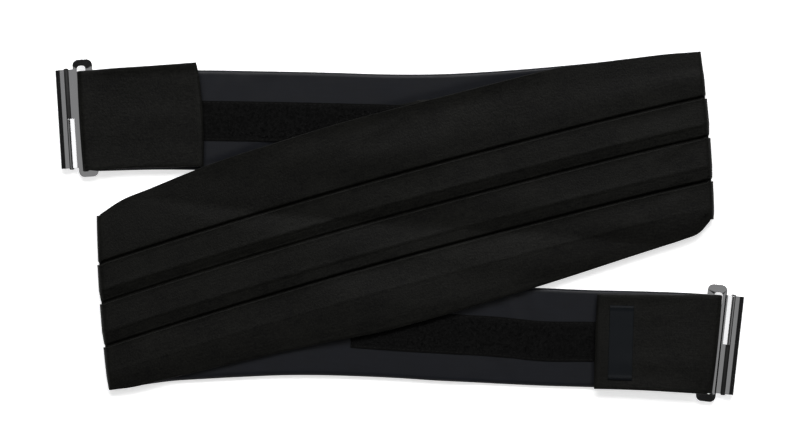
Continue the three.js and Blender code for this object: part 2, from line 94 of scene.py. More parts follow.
# Each row of the front: x and y of its top edge, then of its bottom edge, from the left fold to the right.
PANEL_ROWS = (
    # top x, top y, bottom x, bottom y
    (-175.3, 6.6, -168.1, -96.2),
    (-163.9, 14.2, -157.0, -94.8),
    (-146.4, 21.5, -140.0, -90.7),
    (-128.8, 28.8, -122.5, -86.6),
    (-110.0, 36.2, -104.0, -82.2),
    (-92.0, 42.7, -86.0, -78.0),
    (-74.0, 48.6, -68.0, -73.9),
    (-55.0, 54.6, -49.0, -69.8),
    (-36.0, 60.4, -30.0, -66.2),
    (-17.0, 65.6, -11.0, -62.5),
    (2.0, 70.5, 8.0, -57.6),
    (21.0, 75.3, 27.0, -52.3),
    (40.8, 80.3, 47.0, -46.4),
    (59.0, 84.8, 65.0, -40.8),
    (76.0, 88.9, 82.5, -35.4),
    (93.5, 92.4, 100.0, -29.8),
    (111.0, 94.4, 118.0, -23.9),
    (128.5, 96.7, 136.0, -18.0),
    (146.0, 99.0, 154.0, -12.2),
    (156.5, 100.2, 165.0, -8.6),
    (167.0, 101.0, 175.6, -4.0),
    (173.4, 101.4, 181.0, 2.2),
)

# Each row of the upper tail, from the right fold to the seam of the left strap.
UPPER_TAIL_ROWS = (
    (173.4, 101.7, 181.0, 4.4),
    (158.0, 100.2, 164.0, 8.2),
    (140.3, 98.4, 145.0, 12.9),
    (116.9, 95.6, 121.0, 18.6),
    (93.5, 93.3, 97.0, 23.2),
    (70.1, 91.3, 73.0, 26.8),
    (46.7, 89.7, 49.0, 29.4),
    (23.3, 88.6, 25.0, 31.0),
    (0.0, 88.4, 1.0, 31.9),
    (-20.0, 88.8, -19.5, 32.2),
    (-38.0, 89.4, -37.7, 32.3),
    (-57.0, 89.9, -57.0, 32.3),
)

# Each row of the lower tail, from the left fold to the seam of the right strap.
LOWER_TAIL_ROWS = (
    (-175.3, 5.0, -168.1, -96.4),
    (-158.0, 1.6, -152.2, -93.8),
    (-140.5, -3.0, -136.0, -91.5),
    (-117.1, -8.8, -114.0, -90.0),
    (-93.7, -14.6, -91.0, -88.8),
    (-70.3, -19.8, -68.0, -87.9),
    (-46.9, -24.2, -45.0, -87.9),
    (-23.5, -28.0, -22.0, -88.6),
    (0.0, -31.0, 1.0, -89.7),
    (20.0, -33.2, 20.5, -91.0),
    (39.0, -34.7, 39.2, -91.9),
    (57.8, -35.7, 57.8, -92.9),
)

# The straps' lower runs, from the seam to the line where each starts round its clasp.
LEFT_STRAP_ROWS = (
    (-57.0, 89.9, -57.0, 32.3),
    (-85.0, 90.4, -85.0, 32.2),
    (-114.0, 90.9, -114.0, 32.4),
    (-145.0, 90.8, -144.0, 32.6),
    (-170.0, 90.6, -168.0, 32.0),
    (-185.9, 90.4, -182.3, 31.6),
)
RIGHT_STRAP_ROWS = (
    (57.8, -35.7, 57.8, -92.9),
    (81.8, -36.7, 81.8, -94.0),
    (111.0, -37.9, 111.0, -94.9),
    (140.0, -38.6, 140.0, -96.0),
    (168.0, -39.6, 166.0, -97.4),
    (185.2, -40.6, 179.2, -98.2),
)

# The tabs, from the line over the clasp's bar to the free end.
LEFT_TAB_ROWS = (
    (-185.9, 90.4, -182.3, 32.3),
    (-179.0, 90.9, -175.3, 31.7),
    (-170.0, 91.7, -166.0, 32.8),
    (-145.0, 93.4, -140.5, 33.7),
    (-126.0, 94.8, -121.6, 34.2),
    (-119.5, 95.3, -115.0, 34.4),
)
RIGHT_TAB_ROWS = (
    (185.2, -40.8, 179.2, -98.9),
    (177.0, -40.3, 172.8, -98.4),
    (168.0, -40.6, 165.0, -97.9),
    (145.0, -40.5, 143.0, -96.6),
    (121.2, -40.2, 119.2, -95.8),
    (115.2, -40.1, 113.2, -95.7),
)

# How far each tab's free end bows out, how high its hem stands, and how high its upper edge rolls.
TAB_BOWS = {"left": 1.9, "right": 0.3}
TAB_HEMS = {"left": 0.10, "right": 0.34}
TAB_ROLLS = {"left": 0.9, "right": 0.2}
BOW_LENGTH = 26  # the bow grows over this length towards the free end
BOW_POWER = 0.8

# A strap's cloth: the heights of its faces, how round its edges are, and the bead along them.
STRAP_INNER = 0.05
STRAP_MIDDLE = 0.65
STRAP_OUTER = 1.25
STRAP_ROUND = 0.7
STRAP_POINTS = 30
STRAP_END = 0.9  # the length over which its ends round off
BEAD_HEIGHT = 0.10
BEAD_AT = 1.4
BEAD_WIDTH = 1.0
ROLL_WIDTH = 3.0
ROLL_ENDS = (66, 50)  # the roll fades in between these distances from the tab's free end
HEM_ENDS = (5.6, 4.6)  # and the hem between these
TAB_START = 12  # the tab's swell grows over this length from the clasp
UNDER_SHARE = 0.35  # how much of the swell reaches the tab's underside
HEM_STITCHES = (4.3, 1.5, 1.27)  # from the free end, from the sides, and up
STITCHED_POINTS = 60

# The top edge of each loop tape on the linings, from under its tab to under the front.
TAPE_WIDTH = 23.4
LEFT_TAPE_TOP = ((-172.0, 74.0), (-114.0, 73.0), (-58.0, 72.0), (-18.0, 71.0), (4.0, 70.4))
RIGHT_TAPE_TOP = (
    (168.0, -57.6), (111.0, -56.4), (82.0, -56.0), (58.0, -53.6), (35.0, -52.2), (0.0, -50.2), (-29.0, -48.2),
)
LEFT_TAPE_ROWS, RIGHT_TAPE_ROWS = [
    [(x, y, x, y - TAPE_WIDTH) for x, y in top] for top in (LEFT_TAPE_TOP, RIGHT_TAPE_TOP)
]

# The loop tapes' ribbon, with the insets of their pile and their stitches.
TAPE_STEP = 2.0
TAPE_SEAT = 1.28  # how far a ribbon lies above the level of its tail
TAPE_FACES = (0.02, 0.5)
TAPE_ROUND = 0.3
TAPE_POINTS = 14
PILE_INSET = 2.1
PILE_COLUMNS = 8
PILE_RADIUS = 0.00033
PILE_THREAD = 0.0001
PILE_SIZES = (0.7, 1.15)  # the smallest and largest loops, as shares of the size
TAPE_STITCH_INSET = 1.1
FLOOR_GAP = 0.00002  # how far cloth stays above the floor, in metres

# How the front lies on what is under it: it rises over the tapes and sinks between the tails.
TAPE_RISE = 1.5
TAPE_REACH = (14, 40)
TAPE_END_REACH = (2, 40)
SINK = 1.7
SINK_REACH = (10, 40)
FOLD_REACH = (4, 40)
CREASE_REACH = (-4, 14)

# The pleated cloth: its thickness, and the heights of the middle of each layer.
CLOTH = 0.4
HEM_PLY = 0.28
LOW_PLY = -0.5
MIDDLE_PLY = 0.75
HIGH_PLY = 2.15
SINGLE_PLY = 0.98

# Its turned edges and the pleats' noses: how far in a turned edge reaches, and how flat the turn is, from 0
# to 1 for a round one.
HEM_TURN = 2.4
BOTTOM_TURN = 2.7
TOP_FLAT = 0.08
NOSE_FLAT = 0.12
PRESSED = 0.5  # how far the bottom edge is pressed down on the tail behind it
PRESS_REACH = 9.0
EDGE_FLAT = 0.22

# The pleated cloth thins out over this length at its ends, towards this height.
FRONT_END = 0.8
FRONT_MIDDLE = 0.7

# Where a band of cloth goes down under the next pleat, from the pleat's line.
PLUNGE_FROM = 2.2
PLUNGE_TO = 0.5
PLUNGE_PAST = 0.4
PLUNGE_POWER = 2.2
NOSE_AT = 0.75

# The hidden layers of each pleat end this far below its line, where the cloth over them steps down.
POCKETS = (16.1, 17.5, 16.5)
POCKET_SHARE = 0.73  # the most of a band's width that they take
NOSE_RISE = 0.2
NOSE_REACH = 2.4
NOSE_POWER = 1.5
SWELLS = (0.0, 0.0, 0.1, 0.5, 0.55, 0.55)  # the first band's rise above the first pleat, at FALL_X
SWELL_REACH = 10
SWELL_PAST = 2
STEP_BEFORE = 0.5
STEP_REACH = 2.2
STEP_RIDGE = 0.07
RIDGE_BEFORE = 0.6
RIDGE_WIDTH = 1.1

# Where the points are across a pleat: over its hidden layers, as shares, and how many down the band.
POCKET_STOPS = (0.01, 0.03, 0.07, 0.12, 0.2, 0.36, 0.52, 0.68, 0.82, 0.9, 0.95, 1.0)
BAND_STOPS = (7, 7, 12)

# How far the cloth falls at each step, and from there to the next line, at each x.
FALL_X = (-140, -80, -20, 38, 96, 155)
STEP_FALLS = (
    (0.62, 0.68, 0.56, 0.50, 0.42, 0.52),
    (0.50, 0.44, 0.38, 0.28, 0.46, 0.26),
    (0.10, 0.08, 0.12, 0.12, 0.14, 0.10),
)
BAND_FALLS = (
    (1.02, 1.12, 0.96, 0.80, 0.84, 0.60),
    (0.85, 0.52, 0.44, 0.60, 0.56, 0.42),
    (1.10, 1.15, 1.15, 1.15, 1.15, 1.10),
)

# How high the front's top edge rolls up along its length, and how far the roll reaches.
ROLL_X = (-115, -80, -22, 35, 69, 95)
ROLL_RISES = (0.0, 0.45, 1.1, 1.1, 0.9, 0.0)
ROLL_REACH = 8.5
ROLL_POWER = 1.7
ROLL_STOPS = (0.02, 0.05, 0.1, 0.2, 0.32, 0.46, 0.62, 0.8, 1)

# How far the front's top edge stands back from the solid's outline, at ROLL_X.
EDGE_INSETS = (0.0, 0.7, 0.9, 0.9, 0.6, 0.0)

# The lining of the upper tail sinks beside the front's top edge.
DIP = 0.62
DIP_REACH = 4.6
DIP_POWER = 2.2
DIP_HIDDEN = (-14, -6)  # it fades in between these distances, under the front

# The lining: its thickness, its height below the level, and its height and inset at its edges.
LINING_CLOTH = 0.35
LINING_DEEP = -0.95
LINING_EDGE = -0.36
LINING_INSET = 0.12
LINING_EDGE_REACH = 0.7
LINING_POINTS = 44
LINING_FREE = (0.5, 5)  # its ripples fade in between these distances from its edges
LINING_REACH = 170  # it ends under the tabs at this x, on both sides

# Soft waves of each cloth, all over it.
PANEL_WAVES = (
    # height, length, width, turn in degrees, seed
    (0.30, 75, 22, 15.5, 3.1),
    (0.10, 26, 12, 20, 9.4),
)
LINING_WAVES = ((0.15, 8, 30, 0, 2.2),)
TAB_WAVES = ((0.16, 30, 10, 3, 5.7),)

# Soft creases: each is a long low ridge, or a valley where its height is below zero.
PANEL_CREASES = (
    # x, y, turn in degrees, half length, half width, height
    (-6.6, 44.0, 16.8, 46, 7.0, 0.5),
    (122.7, -1.8, 8, 50, 6.0, 0.4),
    (-62.0, 38.0, 22, 34, 7, 0.35),
    (-8.0, 58.0, 24, 16, 3, 0.30),
    (18.0, 50.0, 12, 40, 8, -0.30),
    (150.0, 62.0, 14, 22, 4, -0.30),
    (160.0, 44.0, 24, 13, 3, 0.40),
    (168.0, 24.0, 30, 12, 3, -0.35),
    (120.0, 18.0, 12, 30, 5, 0.20),
    (150.0, 8.0, 18, 22, 5, 0.30),
)
LINING_CREASES = (
    (-105.0, 81.0, 84, 9, 2.6, 0.22),
    (-92.0, 83.0, 96, 8, 2.2, 0.26),
    (-76.0, 82.0, 80, 9, 3.0, -0.20),
    (-57.5, 80.0, 90, 12, 1.4, -0.30),
    (-57.5, 40.0, 90, 9, 1.4, -0.30),
    (-46.0, 83.0, 97, 8, 2.6, 0.26),
    (-30.0, 81.0, 88, 9, 2.4, 0.16),
    (-8.0, 82.0, 82, 8, 3.0, 0.14),
    (57.8, -44.0, 90, 11, 1.4, -0.34),
    (57.8, -85.0, 90, 9, 1.4, -0.34),
    (52.0, -45.0, 70, 10, 2.2, 0.30),
    (64.0, -46.0, 104, 10, 2.4, 0.24),
    (44.0, -48.0, 60, 9, 2.6, 0.20),
    (50.0, -84.0, 118, 8, 2.2, 0.30),
    (66.0, -84.0, 70, 7, 2.2, 0.24),
    (80.0, -46.0, 95, 9, 3.4, 0.14),
    (20.0, -82.0, 84, 7, 3.0, 0.14),
    (-20.0, -80.0, 92, 7, 3.4, 0.16),
)
TAB_CREASES = (
    (165, -100, 0, 60, 42, 1.4),
    (-150.0, 60.0, 4, 26, 6, 0.16),
    (-148.0, 47.0, 3, 30, 4, -0.14),
    (-158.0, 78.0, 2, 24, 6, -0.12),
    (-122.0, 86.0, 60, 10, 4, 0.22),
    (158.0, -60.0, -3, 22, 5, -0.14),
    (152.0, -82.0, -4, 26, 5, 0.18),
    (166.0, -70.0, 70, 14, 4, 0.14),
    (136.0, -88.0, 4, 20, 4, -0.14),
)

# The clasps.
FRAME_LENGTH = 69.0
FRAME_WIDTH = 11.6
FRAME_CORNER = 3.4
SLOT_LENGTHS = {"left": 61.4, "right": 59.8}
SLOT_FROM = -1.6
SLOT_TO = 3.3
SLOT_CORNER = 1.8
METAL = 1.2
METAL_EDGE = 0.12
PLATE_LENGTH = 57.8
LEFT_CLASP = (-184.2, 62.8, 3.6 + 180)
RIGHT_CLASP = (182.3, -68.9, -6.4)
HOOK_LINE = (
    # across, up, corner radius
    (4.9, LOOP_HEIGHT, 0),
    (7.7, LOOP_HEIGHT, 0),
    (7.9, 1.2, 0.5),
    (14.0, 1.2, 0.8),
    (15.8, 2.9, 0.3),
    (13.1, 4.7, 0),
    (10.9, 4.7, 0),
)
TONGUE = (
    (5.2, LOOP_HEIGHT - 0.5),
    (7.0, LOOP_HEIGHT - 0.5),
    (8.7, 4.25),
    (10.0, 4.1),
    (10.5, LOOP_HEIGHT + 1.72),
    (9.75, LOOP_HEIGHT + 1.59),
    (8.95, LOOP_HEIGHT + 1.42),
    (8.15, LOOP_HEIGHT + 1.21),
    (7.25, LOOP_HEIGHT + 0.90),
    (6.25, LOOP_HEIGHT + 0.5),
    (5.2, LOOP_HEIGHT + 0.5),
)
BENT_FROM = 28.9  # the frame's end slopes down from this far along the clasp
BENT_SLOPE = 0.15
SMOOTH_ANGLE = 20  # edges that turn more than this many degrees stay sharp
PIN_SECTION = (1.35, 0.85)
PIN_LENGTH = 59.4
PIN_AT = (9.85, 2.75)
PIN_SIDES = 24
PIN_SMOOTH_ANGLE = 50
PIN_END = ((0, 0.55), (0.1, 0.82), (0.3, 1))  # distance from the end, share of the section

# Satin's weave: the dips' shift from thread to thread, where each starts, and the lining's finer pitch.
WEAVE_SHIFT = 0.4
WEAVE_DIP = 0.36
LINING_PITCH = 0.7

# The studio's brightness by height: a pale horizon, dark sides and a grey ceiling.
SKY = ((0.0, 0.85), (0.12, 0.85), (0.2, 0.014), (0.95, 0.014), (0.975, 0.27), (1.0, 0.27))

FLOOR_GLOW = 0.6  # a lit table, which keeps the object's shadows faint
LIGHTS = (
    # name, place and size in metres, watts
    ("softbox_top", (0.15, 2.08, 2.42), (2.9, 1.45), 103),
    ("softbox_right", (1.0, 0.2, 2.1), (1.2, 0.7), 3.6),
    ("softbox_left", (-1.0, 0.2, 2.1), (1.2, 0.7), 3.2),
    ("softbox_bottom", (0.0, -1.7, 1.3), (1.2, 0.7), 2),
)

# The camera looks straight down on a point, in millimetres, and sees this many metres across there.
VIEW_CENTRE = (2.78, 1.64, 5)
VIEW_WIDTH = 0.47385
LENS = 150
SENSOR = 36

# The label: its ends are turned under, which makes them stand higher.
LABEL_SIZE = (14.0, 43.6)
LABEL_AT = (128.9, -68.7)
LABEL_TURN = -1.7
LABEL_LIFT = 0.02
LABEL_CLOTH = 0.38
LABEL_ROUND = 0.25
LABEL_POINTS = 16
LABEL_ROWS = 61
LABEL_TURNED = 0.22
LABEL_TURNED_ENDS = (2.6, 1.9)
LABEL_END_ROUND = 0.4
LABEL_STITCHED_POINTS = 24
LABEL_STITCHES = (1.3, 0.8, 0.64)  # from the ends, from the sides, and up

# The hidden hook patches.
PATCH_SIZE = (40.0, 23.0)
PATCH_SHARE = 2 / 3  # how far along the tab a patch's middle is
PATCH_FACES = (0.05, 0.95)
PATCH_ROUND = 0.3
PATCH_POINTS = 10
PATCH_ROWS = 21


def length_property(name, description, default):
    """A length, in metres."""
    return FloatProperty(name=name, description=description, default=default, unit="LENGTH")


class SashSizes(bpy.types.PropertyGroup):
    """Sizes that a user would change."""

    row_step: FloatProperty(
        name="Row step", description="Distance between the cloth's rows, in millimetres", default=1.7, min=0.5
    )
    thread_pitch: length_property("Thread pitch", "Distance between the satin's threads", 0.00034)
    stitch_length: length_property("Stitch length", "Length of one stitch", 0.0021)
    stitch_gap: length_property("Stitch gap", "Gap between two stitches", 0.0007)
    stitch_radius: length_property("Stitch thickness", "Radius of the sewing thread", 0.00016)
    loop_density: FloatProperty(
        name="Loop density", description="Loops of the tape in each square metre", default=2000000.0
    )
    loop_seed: IntProperty(name="Loop seed", description="Seed of the loops' places", default=4)


def colour_property(name, description, red, green, blue):
    """A colour property."""
    return FloatVectorProperty(
        name=name, description=description, subtype="COLOR", size=3, default=(red, green, blue)
    )


class SashColours(bpy.types.PropertyGroup):
    """Colours of the sash's finishes."""

    satin: colour_property("Satin", "Face satin", 0.0034, 0.0034, 0.0028)
    lining: colour_property("Lining", "Lining satin", 0.0079, 0.0087, 0.0115)
    tape: colour_property("Tape", "Loop tape", 0.0028, 0.0028, 0.0028)
    label: colour_property("Label", "Woven label", 0.0035, 0.0050, 0.0068)
    metal: colour_property("Metal", "Polished metal", 0.72, 0.72, 0.73)
    dark_metal: colour_property("Dark metal", "Blackened metal", 0.02, 0.02, 0.02)
    floor: colour_property("Floor", "Pale floor", 0.90, 0.90, 0.90)


def smooth(low, high, value):
    """A soft step from 0 at low to 1 at high."""
    t = np.clip((value - low) / (high - low), 0, 1)
    return t * t * (3 - 2 * t)


def to_frame(points):
    """Millimetres in the plane of the folded sash to metres in the frame."""
    return (np.asarray(points, float) - (*MIDDLE, 0)) * MM


def turned(x, y, turn):
    """How far a point lies along a direction turned by turn degrees, and across it."""
    c, s = math.cos(math.radians(turn)), math.sin(math.radians(turn))
    return c * x + s * y, c * y - s * x


def waves(x, y, scale_x, scale_y, turn, seed):
    """Smooth noise between about -1 and 1, stretched by scale_x along a turned direction."""
    along, across = turned(x, y, turn)
    return np.array([noise.noise(Vector((a, b, seed))) for a, b in zip(along / scale_x, across / scale_y)])


def ripples(wave_table, crease_table, x, y):
    """The height of a cloth's soft waves and single creases at each point."""
    height = sum(rise * waves(x, y, *shape) for rise, *shape in wave_table)
    for crease_x, crease_y, turn, half_length, half_width, ridge in crease_table:
        along, across = turned(x - crease_x, y - crease_y, turn)
        height = height + ridge * np.exp(-((along / half_length) ** 2) - (across / half_width) ** 2)
    return height


class Row:
    """One row across a cloth. at(v, n) gives points: v from the top edge, n outwards on the face side.

    s is its distance along the cloth, inset is how far its top edge stands back, and shares are where the
    pleat lines cross it.
    """

    def __init__(self, line, at):
        self.top = np.array(line[:2], float)
        self.bottom = np.array(line[2:], float)
        self.width = float(np.linalg.norm(self.bottom - self.top))
        self.inset = 0.0
        self.at = at
        self.shares = None
        self.s = 0.0


def plan(line, v):
    """Points in the plane, at v from the top end of a line."""
    top, bottom = np.array(line[:2], float), np.array(line[2:], float)
    width = np.linalg.norm(bottom - top)
    return top + np.outer(v / width, bottom - top)


def even_level(height):
    """A level that is the same everywhere."""

    def level(x, y):
        return np.full_like(x, height)

    return level


def flat_row(line, side, level, thin=1.0):
    """A row that lies at a level, face up for side 1 and face down for side -1."""

    def at(v, n):
        xy = plan(line, v)
        out = np.where(n > 0, n * thin, n)
        return np.column_stack([xy, level(xy[:, 0], xy[:, 1]) + side * out])

    return Row(line, at)


def fold_rows(line, outwards, height, radius, bow, turn_from, turn_to, steps, spread=1.0):
    """Rows round a fold, over a line from top to bottom."""
    top, bottom = np.array(line[:2], float), np.array(line[2:], float)
    width = np.linalg.norm(bottom - top)
    along = (bottom - top) / width
    out = np.array([-along[1], along[0]])
    if out[0] * outwards < 0:
        out = -out
    rows = []
    for k in range(1, steps):
        turn = turn_from + (turn_to - turn_from) * k / steps

        def at(v, n, turn=turn):
            share = v / width
            ply = SINGLE_PLY + (n - SINGLE_PLY) * spread
            reach = (radius + ply + 4 * bow * share * (1 - share)) * math.sin(turn)
            xy = plan(line, v) + np.outer(reach, out)
            return np.column_stack([xy, height + (radius + n) * math.cos(turn)])

        rows.append(Row(line, at))
    return rows


def fine_lines(table, step):
    """The rows of a table joined by smooth curves, about step apart."""
    knots = np.array(table, float)
    middle = (knots[:, :2] + knots[:, 2:]) / 2
    t = np.concatenate([[0], np.cumsum(np.linalg.norm(np.diff(middle, axis=0), axis=1))])
    slopes = np.gradient(knots, t, axis=0)
    at = np.linspace(0, t[-1], max(2, round(t[-1] / step)) + 1)
    k = np.clip(np.searchsorted(t, at) - 1, 0, len(t) - 2)
    span = (t[k + 1] - t[k])[:, None]
    u = (at - t[k])[:, None] / span
    return (
        (2 * u**3 - 3 * u**2 + 1) * knots[k]
        + (u**3 - 2 * u**2 + u) * span * slopes[k]
        + (3 * u**2 - 2 * u**3) * knots[k + 1]
        + (u**3 - u**2) * span * slopes[k + 1]
    )


def edge_at(table, column, x):
    """The y at x of a table's top edge, column 0, or of its bottom edge, column 2."""
    rows = sorted(table, key=lambda row: row[column])
    return np.interp(x, [row[column] for row in rows], [row[column + 1] for row in rows])


def tape_rise(tape, x, y, beyond_end):
    """How far the front rises over a tape."""
    middle = (edge_at(tape, 0, x) + edge_at(tape, 2, x)) / 2
    across = 1 - smooth(*TAPE_REACH, np.abs(y - middle))
    return TAPE_RISE * across * (1 - smooth(*TAPE_END_REACH, beyond_end))


def panel_level(x, y):
    """The level of the front at each point, with its soft creases."""
    rise = tape_rise(LEFT_TAPE_ROWS, x, y, x - LEFT_TAPE_ROWS[-1][0])
    rise = rise + tape_rise(RIGHT_TAPE_ROWS, x, y, RIGHT_TAPE_ROWS[-1][0] - x)
    clear = np.minimum(edge_at(UPPER_TAIL_ROWS, 2, x) - y, y - edge_at(LOWER_TAIL_ROWS, 0, x))
    from_folds = np.minimum(x - PANEL_ROWS[0][0], PANEL_ROWS[-1][0] - x)
    free = smooth(*FOLD_REACH, from_folds)
    ridges = ripples(PANEL_WAVES, PANEL_CREASES, x, y) * smooth(*CREASE_REACH, from_folds)
    return PANEL_LEVEL + (rise - SINK * smooth(*SINK_REACH, clear)) * free + ridges


def thin_at(x, seam):
    """How much of its thickness a tail keeps near the strap's seam."""
    return SEAM_THIN + (1 - SEAM_THIN) * smooth(*SEAM_REACH, abs(x - seam))


def tail_rows(table, step):
    """A tail's rows, face down."""
    rows = []
    for line in fine_lines(table, step):
        thin = float(thin_at(line[0], table[-1][0]))
        rows.append(flat_row(line, -1, even_level(TAIL_LEVEL * thin), thin))
    return rows


def pleat_shares(row):
    """Where the pleat lines cross a row of the front, as shares of its width."""
    shares = []
    for rise in PLEAT_RISES:
        share = 0.5
        for _ in range(4):
            x = row.top[0] + (row.bottom[0] - row.top[0]) * share
            lift = PLEAT_LIFT[2] * float(smooth(*PLEAT_LIFT[:2], x))
            y = rise + PLEAT_SLOPE * x - PLEAT_BOW * x * x + lift
            share = (y - row.top[1]) / (row.bottom[1] - row.top[1])
        shares.append(share)
    return shares


def press_edge(row):
    """Lowers a row's bottom edge, with the lining behind it."""

    def at(v, n, straight=row.at, width=row.width):
        return straight(v, n - PRESSED * smooth(PRESS_REACH, 0, width - np.asarray(v)))

    row.at = at


def sash_rows(step):
    """The pleated cloth's rows, from the left strap's seam round both folds to the right strap's."""
    panel = [flat_row(line, 1, panel_level) for line in fine_lines(PANEL_ROWS, step)]
    for row in panel:
        row.shares = pleat_shares(row)
        row.inset = float(np.interp(row.top[0], ROLL_X, EDGE_INSETS))
        press_edge(row)
    left, right = panel[0].shares, panel[-1].shares
    left_line = (np.array(PANEL_ROWS[0]) + LOWER_TAIL_ROWS[0]) / 2
    right_line = (np.array(PANEL_ROWS[-1]) + UPPER_TAIL_ROWS[0]) / 2
    turns = (FOLD_HEIGHT, FOLD_RADIUS, FOLD_BOW, 0, math.pi, FOLD_STEPS, FOLD_SPREAD)
    upper = tail_rows(UPPER_TAIL_ROWS, TAIL_STEP * step)
    lower = tail_rows(LOWER_TAIL_ROWS, TAIL_STEP * step)
    upper_fold = fold_rows(right_line, 1, *turns)
    lower_fold = fold_rows(left_line, -1, *turns)
    for row in upper + upper_fold:
        row.shares = right
    for row in lower + lower_fold:
        row.shares = left
    return measured(upper[::-1] + upper_fold[::-1] + panel[::-1] + lower_fold + lower)


def measured(rows):
    """Gives each row its distance s along the cloth."""
    half = [row.at(np.array([row.width / 2]), np.array([0.5]))[0] for row in rows]
    for before, row, a, b in zip(rows, rows[1:], half, half[1:]):
        row.s = before.s + float(np.linalg.norm(b - a))
    return rows


def arc(v, n, radius, start, end, count, flat=1.0):
    """Points round a fold's section, from one angle to another, in degrees. flat narrows it across."""
    angles = np.radians(np.linspace(start, end, count))
    return [(v + flat * radius * math.cos(a), n + radius * math.sin(a)) for a in angles]


def first_band(row, start, middle_x):
    """The points of the first band, from the turned top edge to where it goes down at the pleat line."""
    roll = float(np.interp(row.top[0], ROLL_X, ROLL_RISES))
    hem_radius = (SINGLE_PLY + roll - HEM_PLY) / 2
    edge = EDGE_FLAT * hem_radius + CLOTH / 2
    top_edge = row.inset + TOP_FLAT * hem_radius + CLOTH / 2
    path = [(HEM_TURN + row.inset, HEM_PLY)]
    path += arc(top_edge, HEM_PLY + hem_radius, hem_radius, 270, 90, 8, TOP_FLAT)
    down_from = start - PLUNGE_FROM
    swell_from, swell_to = edge + ROLL_REACH, down_from - SWELL_REACH
    stops = [top_edge + ROLL_REACH * share for share in ROLL_STOPS]
    stops += [*np.linspace(swell_from, swell_to, 8)[1:], *np.linspace(swell_to, down_from, 6)[1:]]
    swell = float(np.interp(middle_x, FALL_X, SWELLS))
    for stop in stops:
        rise = roll * max(0.0, 1 - (stop - top_edge) / ROLL_REACH) ** ROLL_POWER
        up = float(smooth(swell_from, swell_to, stop))
        down = float(smooth(swell_to, down_from + SWELL_PAST, stop))
        path.append((stop, SINGLE_PLY + rise + swell * up * (1 - down)))
    return path, edge


def pleat_band(k, v, end, last, level, middle_x):
    """The points of pleat k, from its line at v, under the next band and out to that band's last point."""
    path = []
    for stop in np.linspace(PLUNGE_FROM, PLUNGE_TO, 7)[1:]:
        share = (PLUNGE_FROM - stop) / (PLUNGE_FROM - PLUNGE_TO)
        path.append((v - stop, level + (LOW_PLY - level) * share**PLUNGE_POWER))
    depth = min(POCKETS[k], POCKET_SHARE * (end - v))
    path += [(v + PLUNGE_PAST, LOW_PLY), (v + depth / 2, LOW_PLY)]
    under_radius = (MIDDLE_PLY - LOW_PLY) / 2
    path += arc(v + depth - under_radius, LOW_PLY + under_radius, under_radius, -90, 90, 4)
    path.append((v + depth / 2, MIDDLE_PLY))
    nose_radius = (HIGH_PLY + NOSE_RISE - MIDDLE_PLY) / 2
    nose = v + NOSE_AT + CLOTH / 2 + NOSE_FLAT * nose_radius
    path += arc(nose, MIDDLE_PLY + nose_radius, nose_radius, 270, 90, 8, NOSE_FLAT)
    step = v + depth - STEP_BEFORE
    for share in POCKET_STOPS:
        stop = nose + (step - nose) * share
        ridge = STEP_RIDGE * math.exp(-(((stop - step + RIDGE_BEFORE) / RIDGE_WIDTH) ** 2))
        ridge += NOSE_RISE * max(0.0, 1 - (stop - nose) / NOSE_REACH) ** NOSE_POWER
        path.append((stop, HIGH_PLY + ridge))
    step_fall = float(np.interp(middle_x, FALL_X, STEP_FALLS[k]))
    band_fall = float(np.interp(middle_x, FALL_X, BAND_FALLS[k]))
    for stop in np.linspace(0, STEP_REACH, 6)[1:]:
        path.append((step + stop, HIGH_PLY - step_fall * float(smooth(0, STEP_REACH, stop))))
    for share in np.linspace(0, 1, BAND_STOPS[k])[1:]:
        stop = step + STEP_REACH + (last - step - STEP_REACH) * share
        path.append((stop, HIGH_PLY - step_fall - band_fall * share))
    return path


def pleated_path(row):
    """The middle line of the pleated cloth across a row, from one turned edge to the other."""
    starts = [share * row.width for share in row.shares]
    ends = [*starts[1:], row.width]
    middle_x = (row.top[0] + row.bottom[0]) / 2
    path, edge = first_band(row, starts[0], middle_x)
    lasts = [*[end - PLUNGE_FROM for end in starts[1:]], row.width - edge]
    for k, (v, end, last) in enumerate(zip(starts, ends, lasts)):
        path += pleat_band(k, v, end, last, path[-1][1], middle_x)
    hem_radius = (path.pop()[1] - HEM_PLY) / 2
    path += arc(row.width - edge, HEM_PLY + hem_radius, hem_radius, 90, -90, 8, EDGE_FLAT)
    path.append((row.width - BOTTOM_TURN, HEM_PLY))
    return np.array(path)


def thick_outline(path, thickness):
    """The closed outline of a sheet: its middle line moved out by half its thickness on both sides."""
    steps = np.diff(path, axis=0)
    steps /= np.maximum(np.linalg.norm(steps, axis=1), 1e-9)[:, None]
    normals = np.column_stack([-steps[:, 1], steps[:, 0]])
    before = np.vstack([normals[:1], normals])
    after = np.vstack([normals, normals[-1:]])
    middle = before + after
    middle /= np.maximum(np.linalg.norm(middle, axis=1), 1e-9)[:, None]
    reach = thickness / 2 / np.maximum((middle * after).sum(1), 0.5)
    shift = middle * reach[:, None]
    return np.vstack([path + shift, (path - shift)[::-1]])


def lining_path(row):
    """The lining's middle line across a row, which rises to the cloth's edges."""
    stops = np.linspace(LINING_INSET + row.inset, row.width - LINING_INSET, LINING_POINTS)
    from_edge = np.minimum(stops - row.inset, row.width - stops) - LINING_INSET
    n = LINING_EDGE + (LINING_DEEP - LINING_EDGE) * smooth(0, LINING_EDGE_REACH, from_edge)
    return np.column_stack([stops, n])


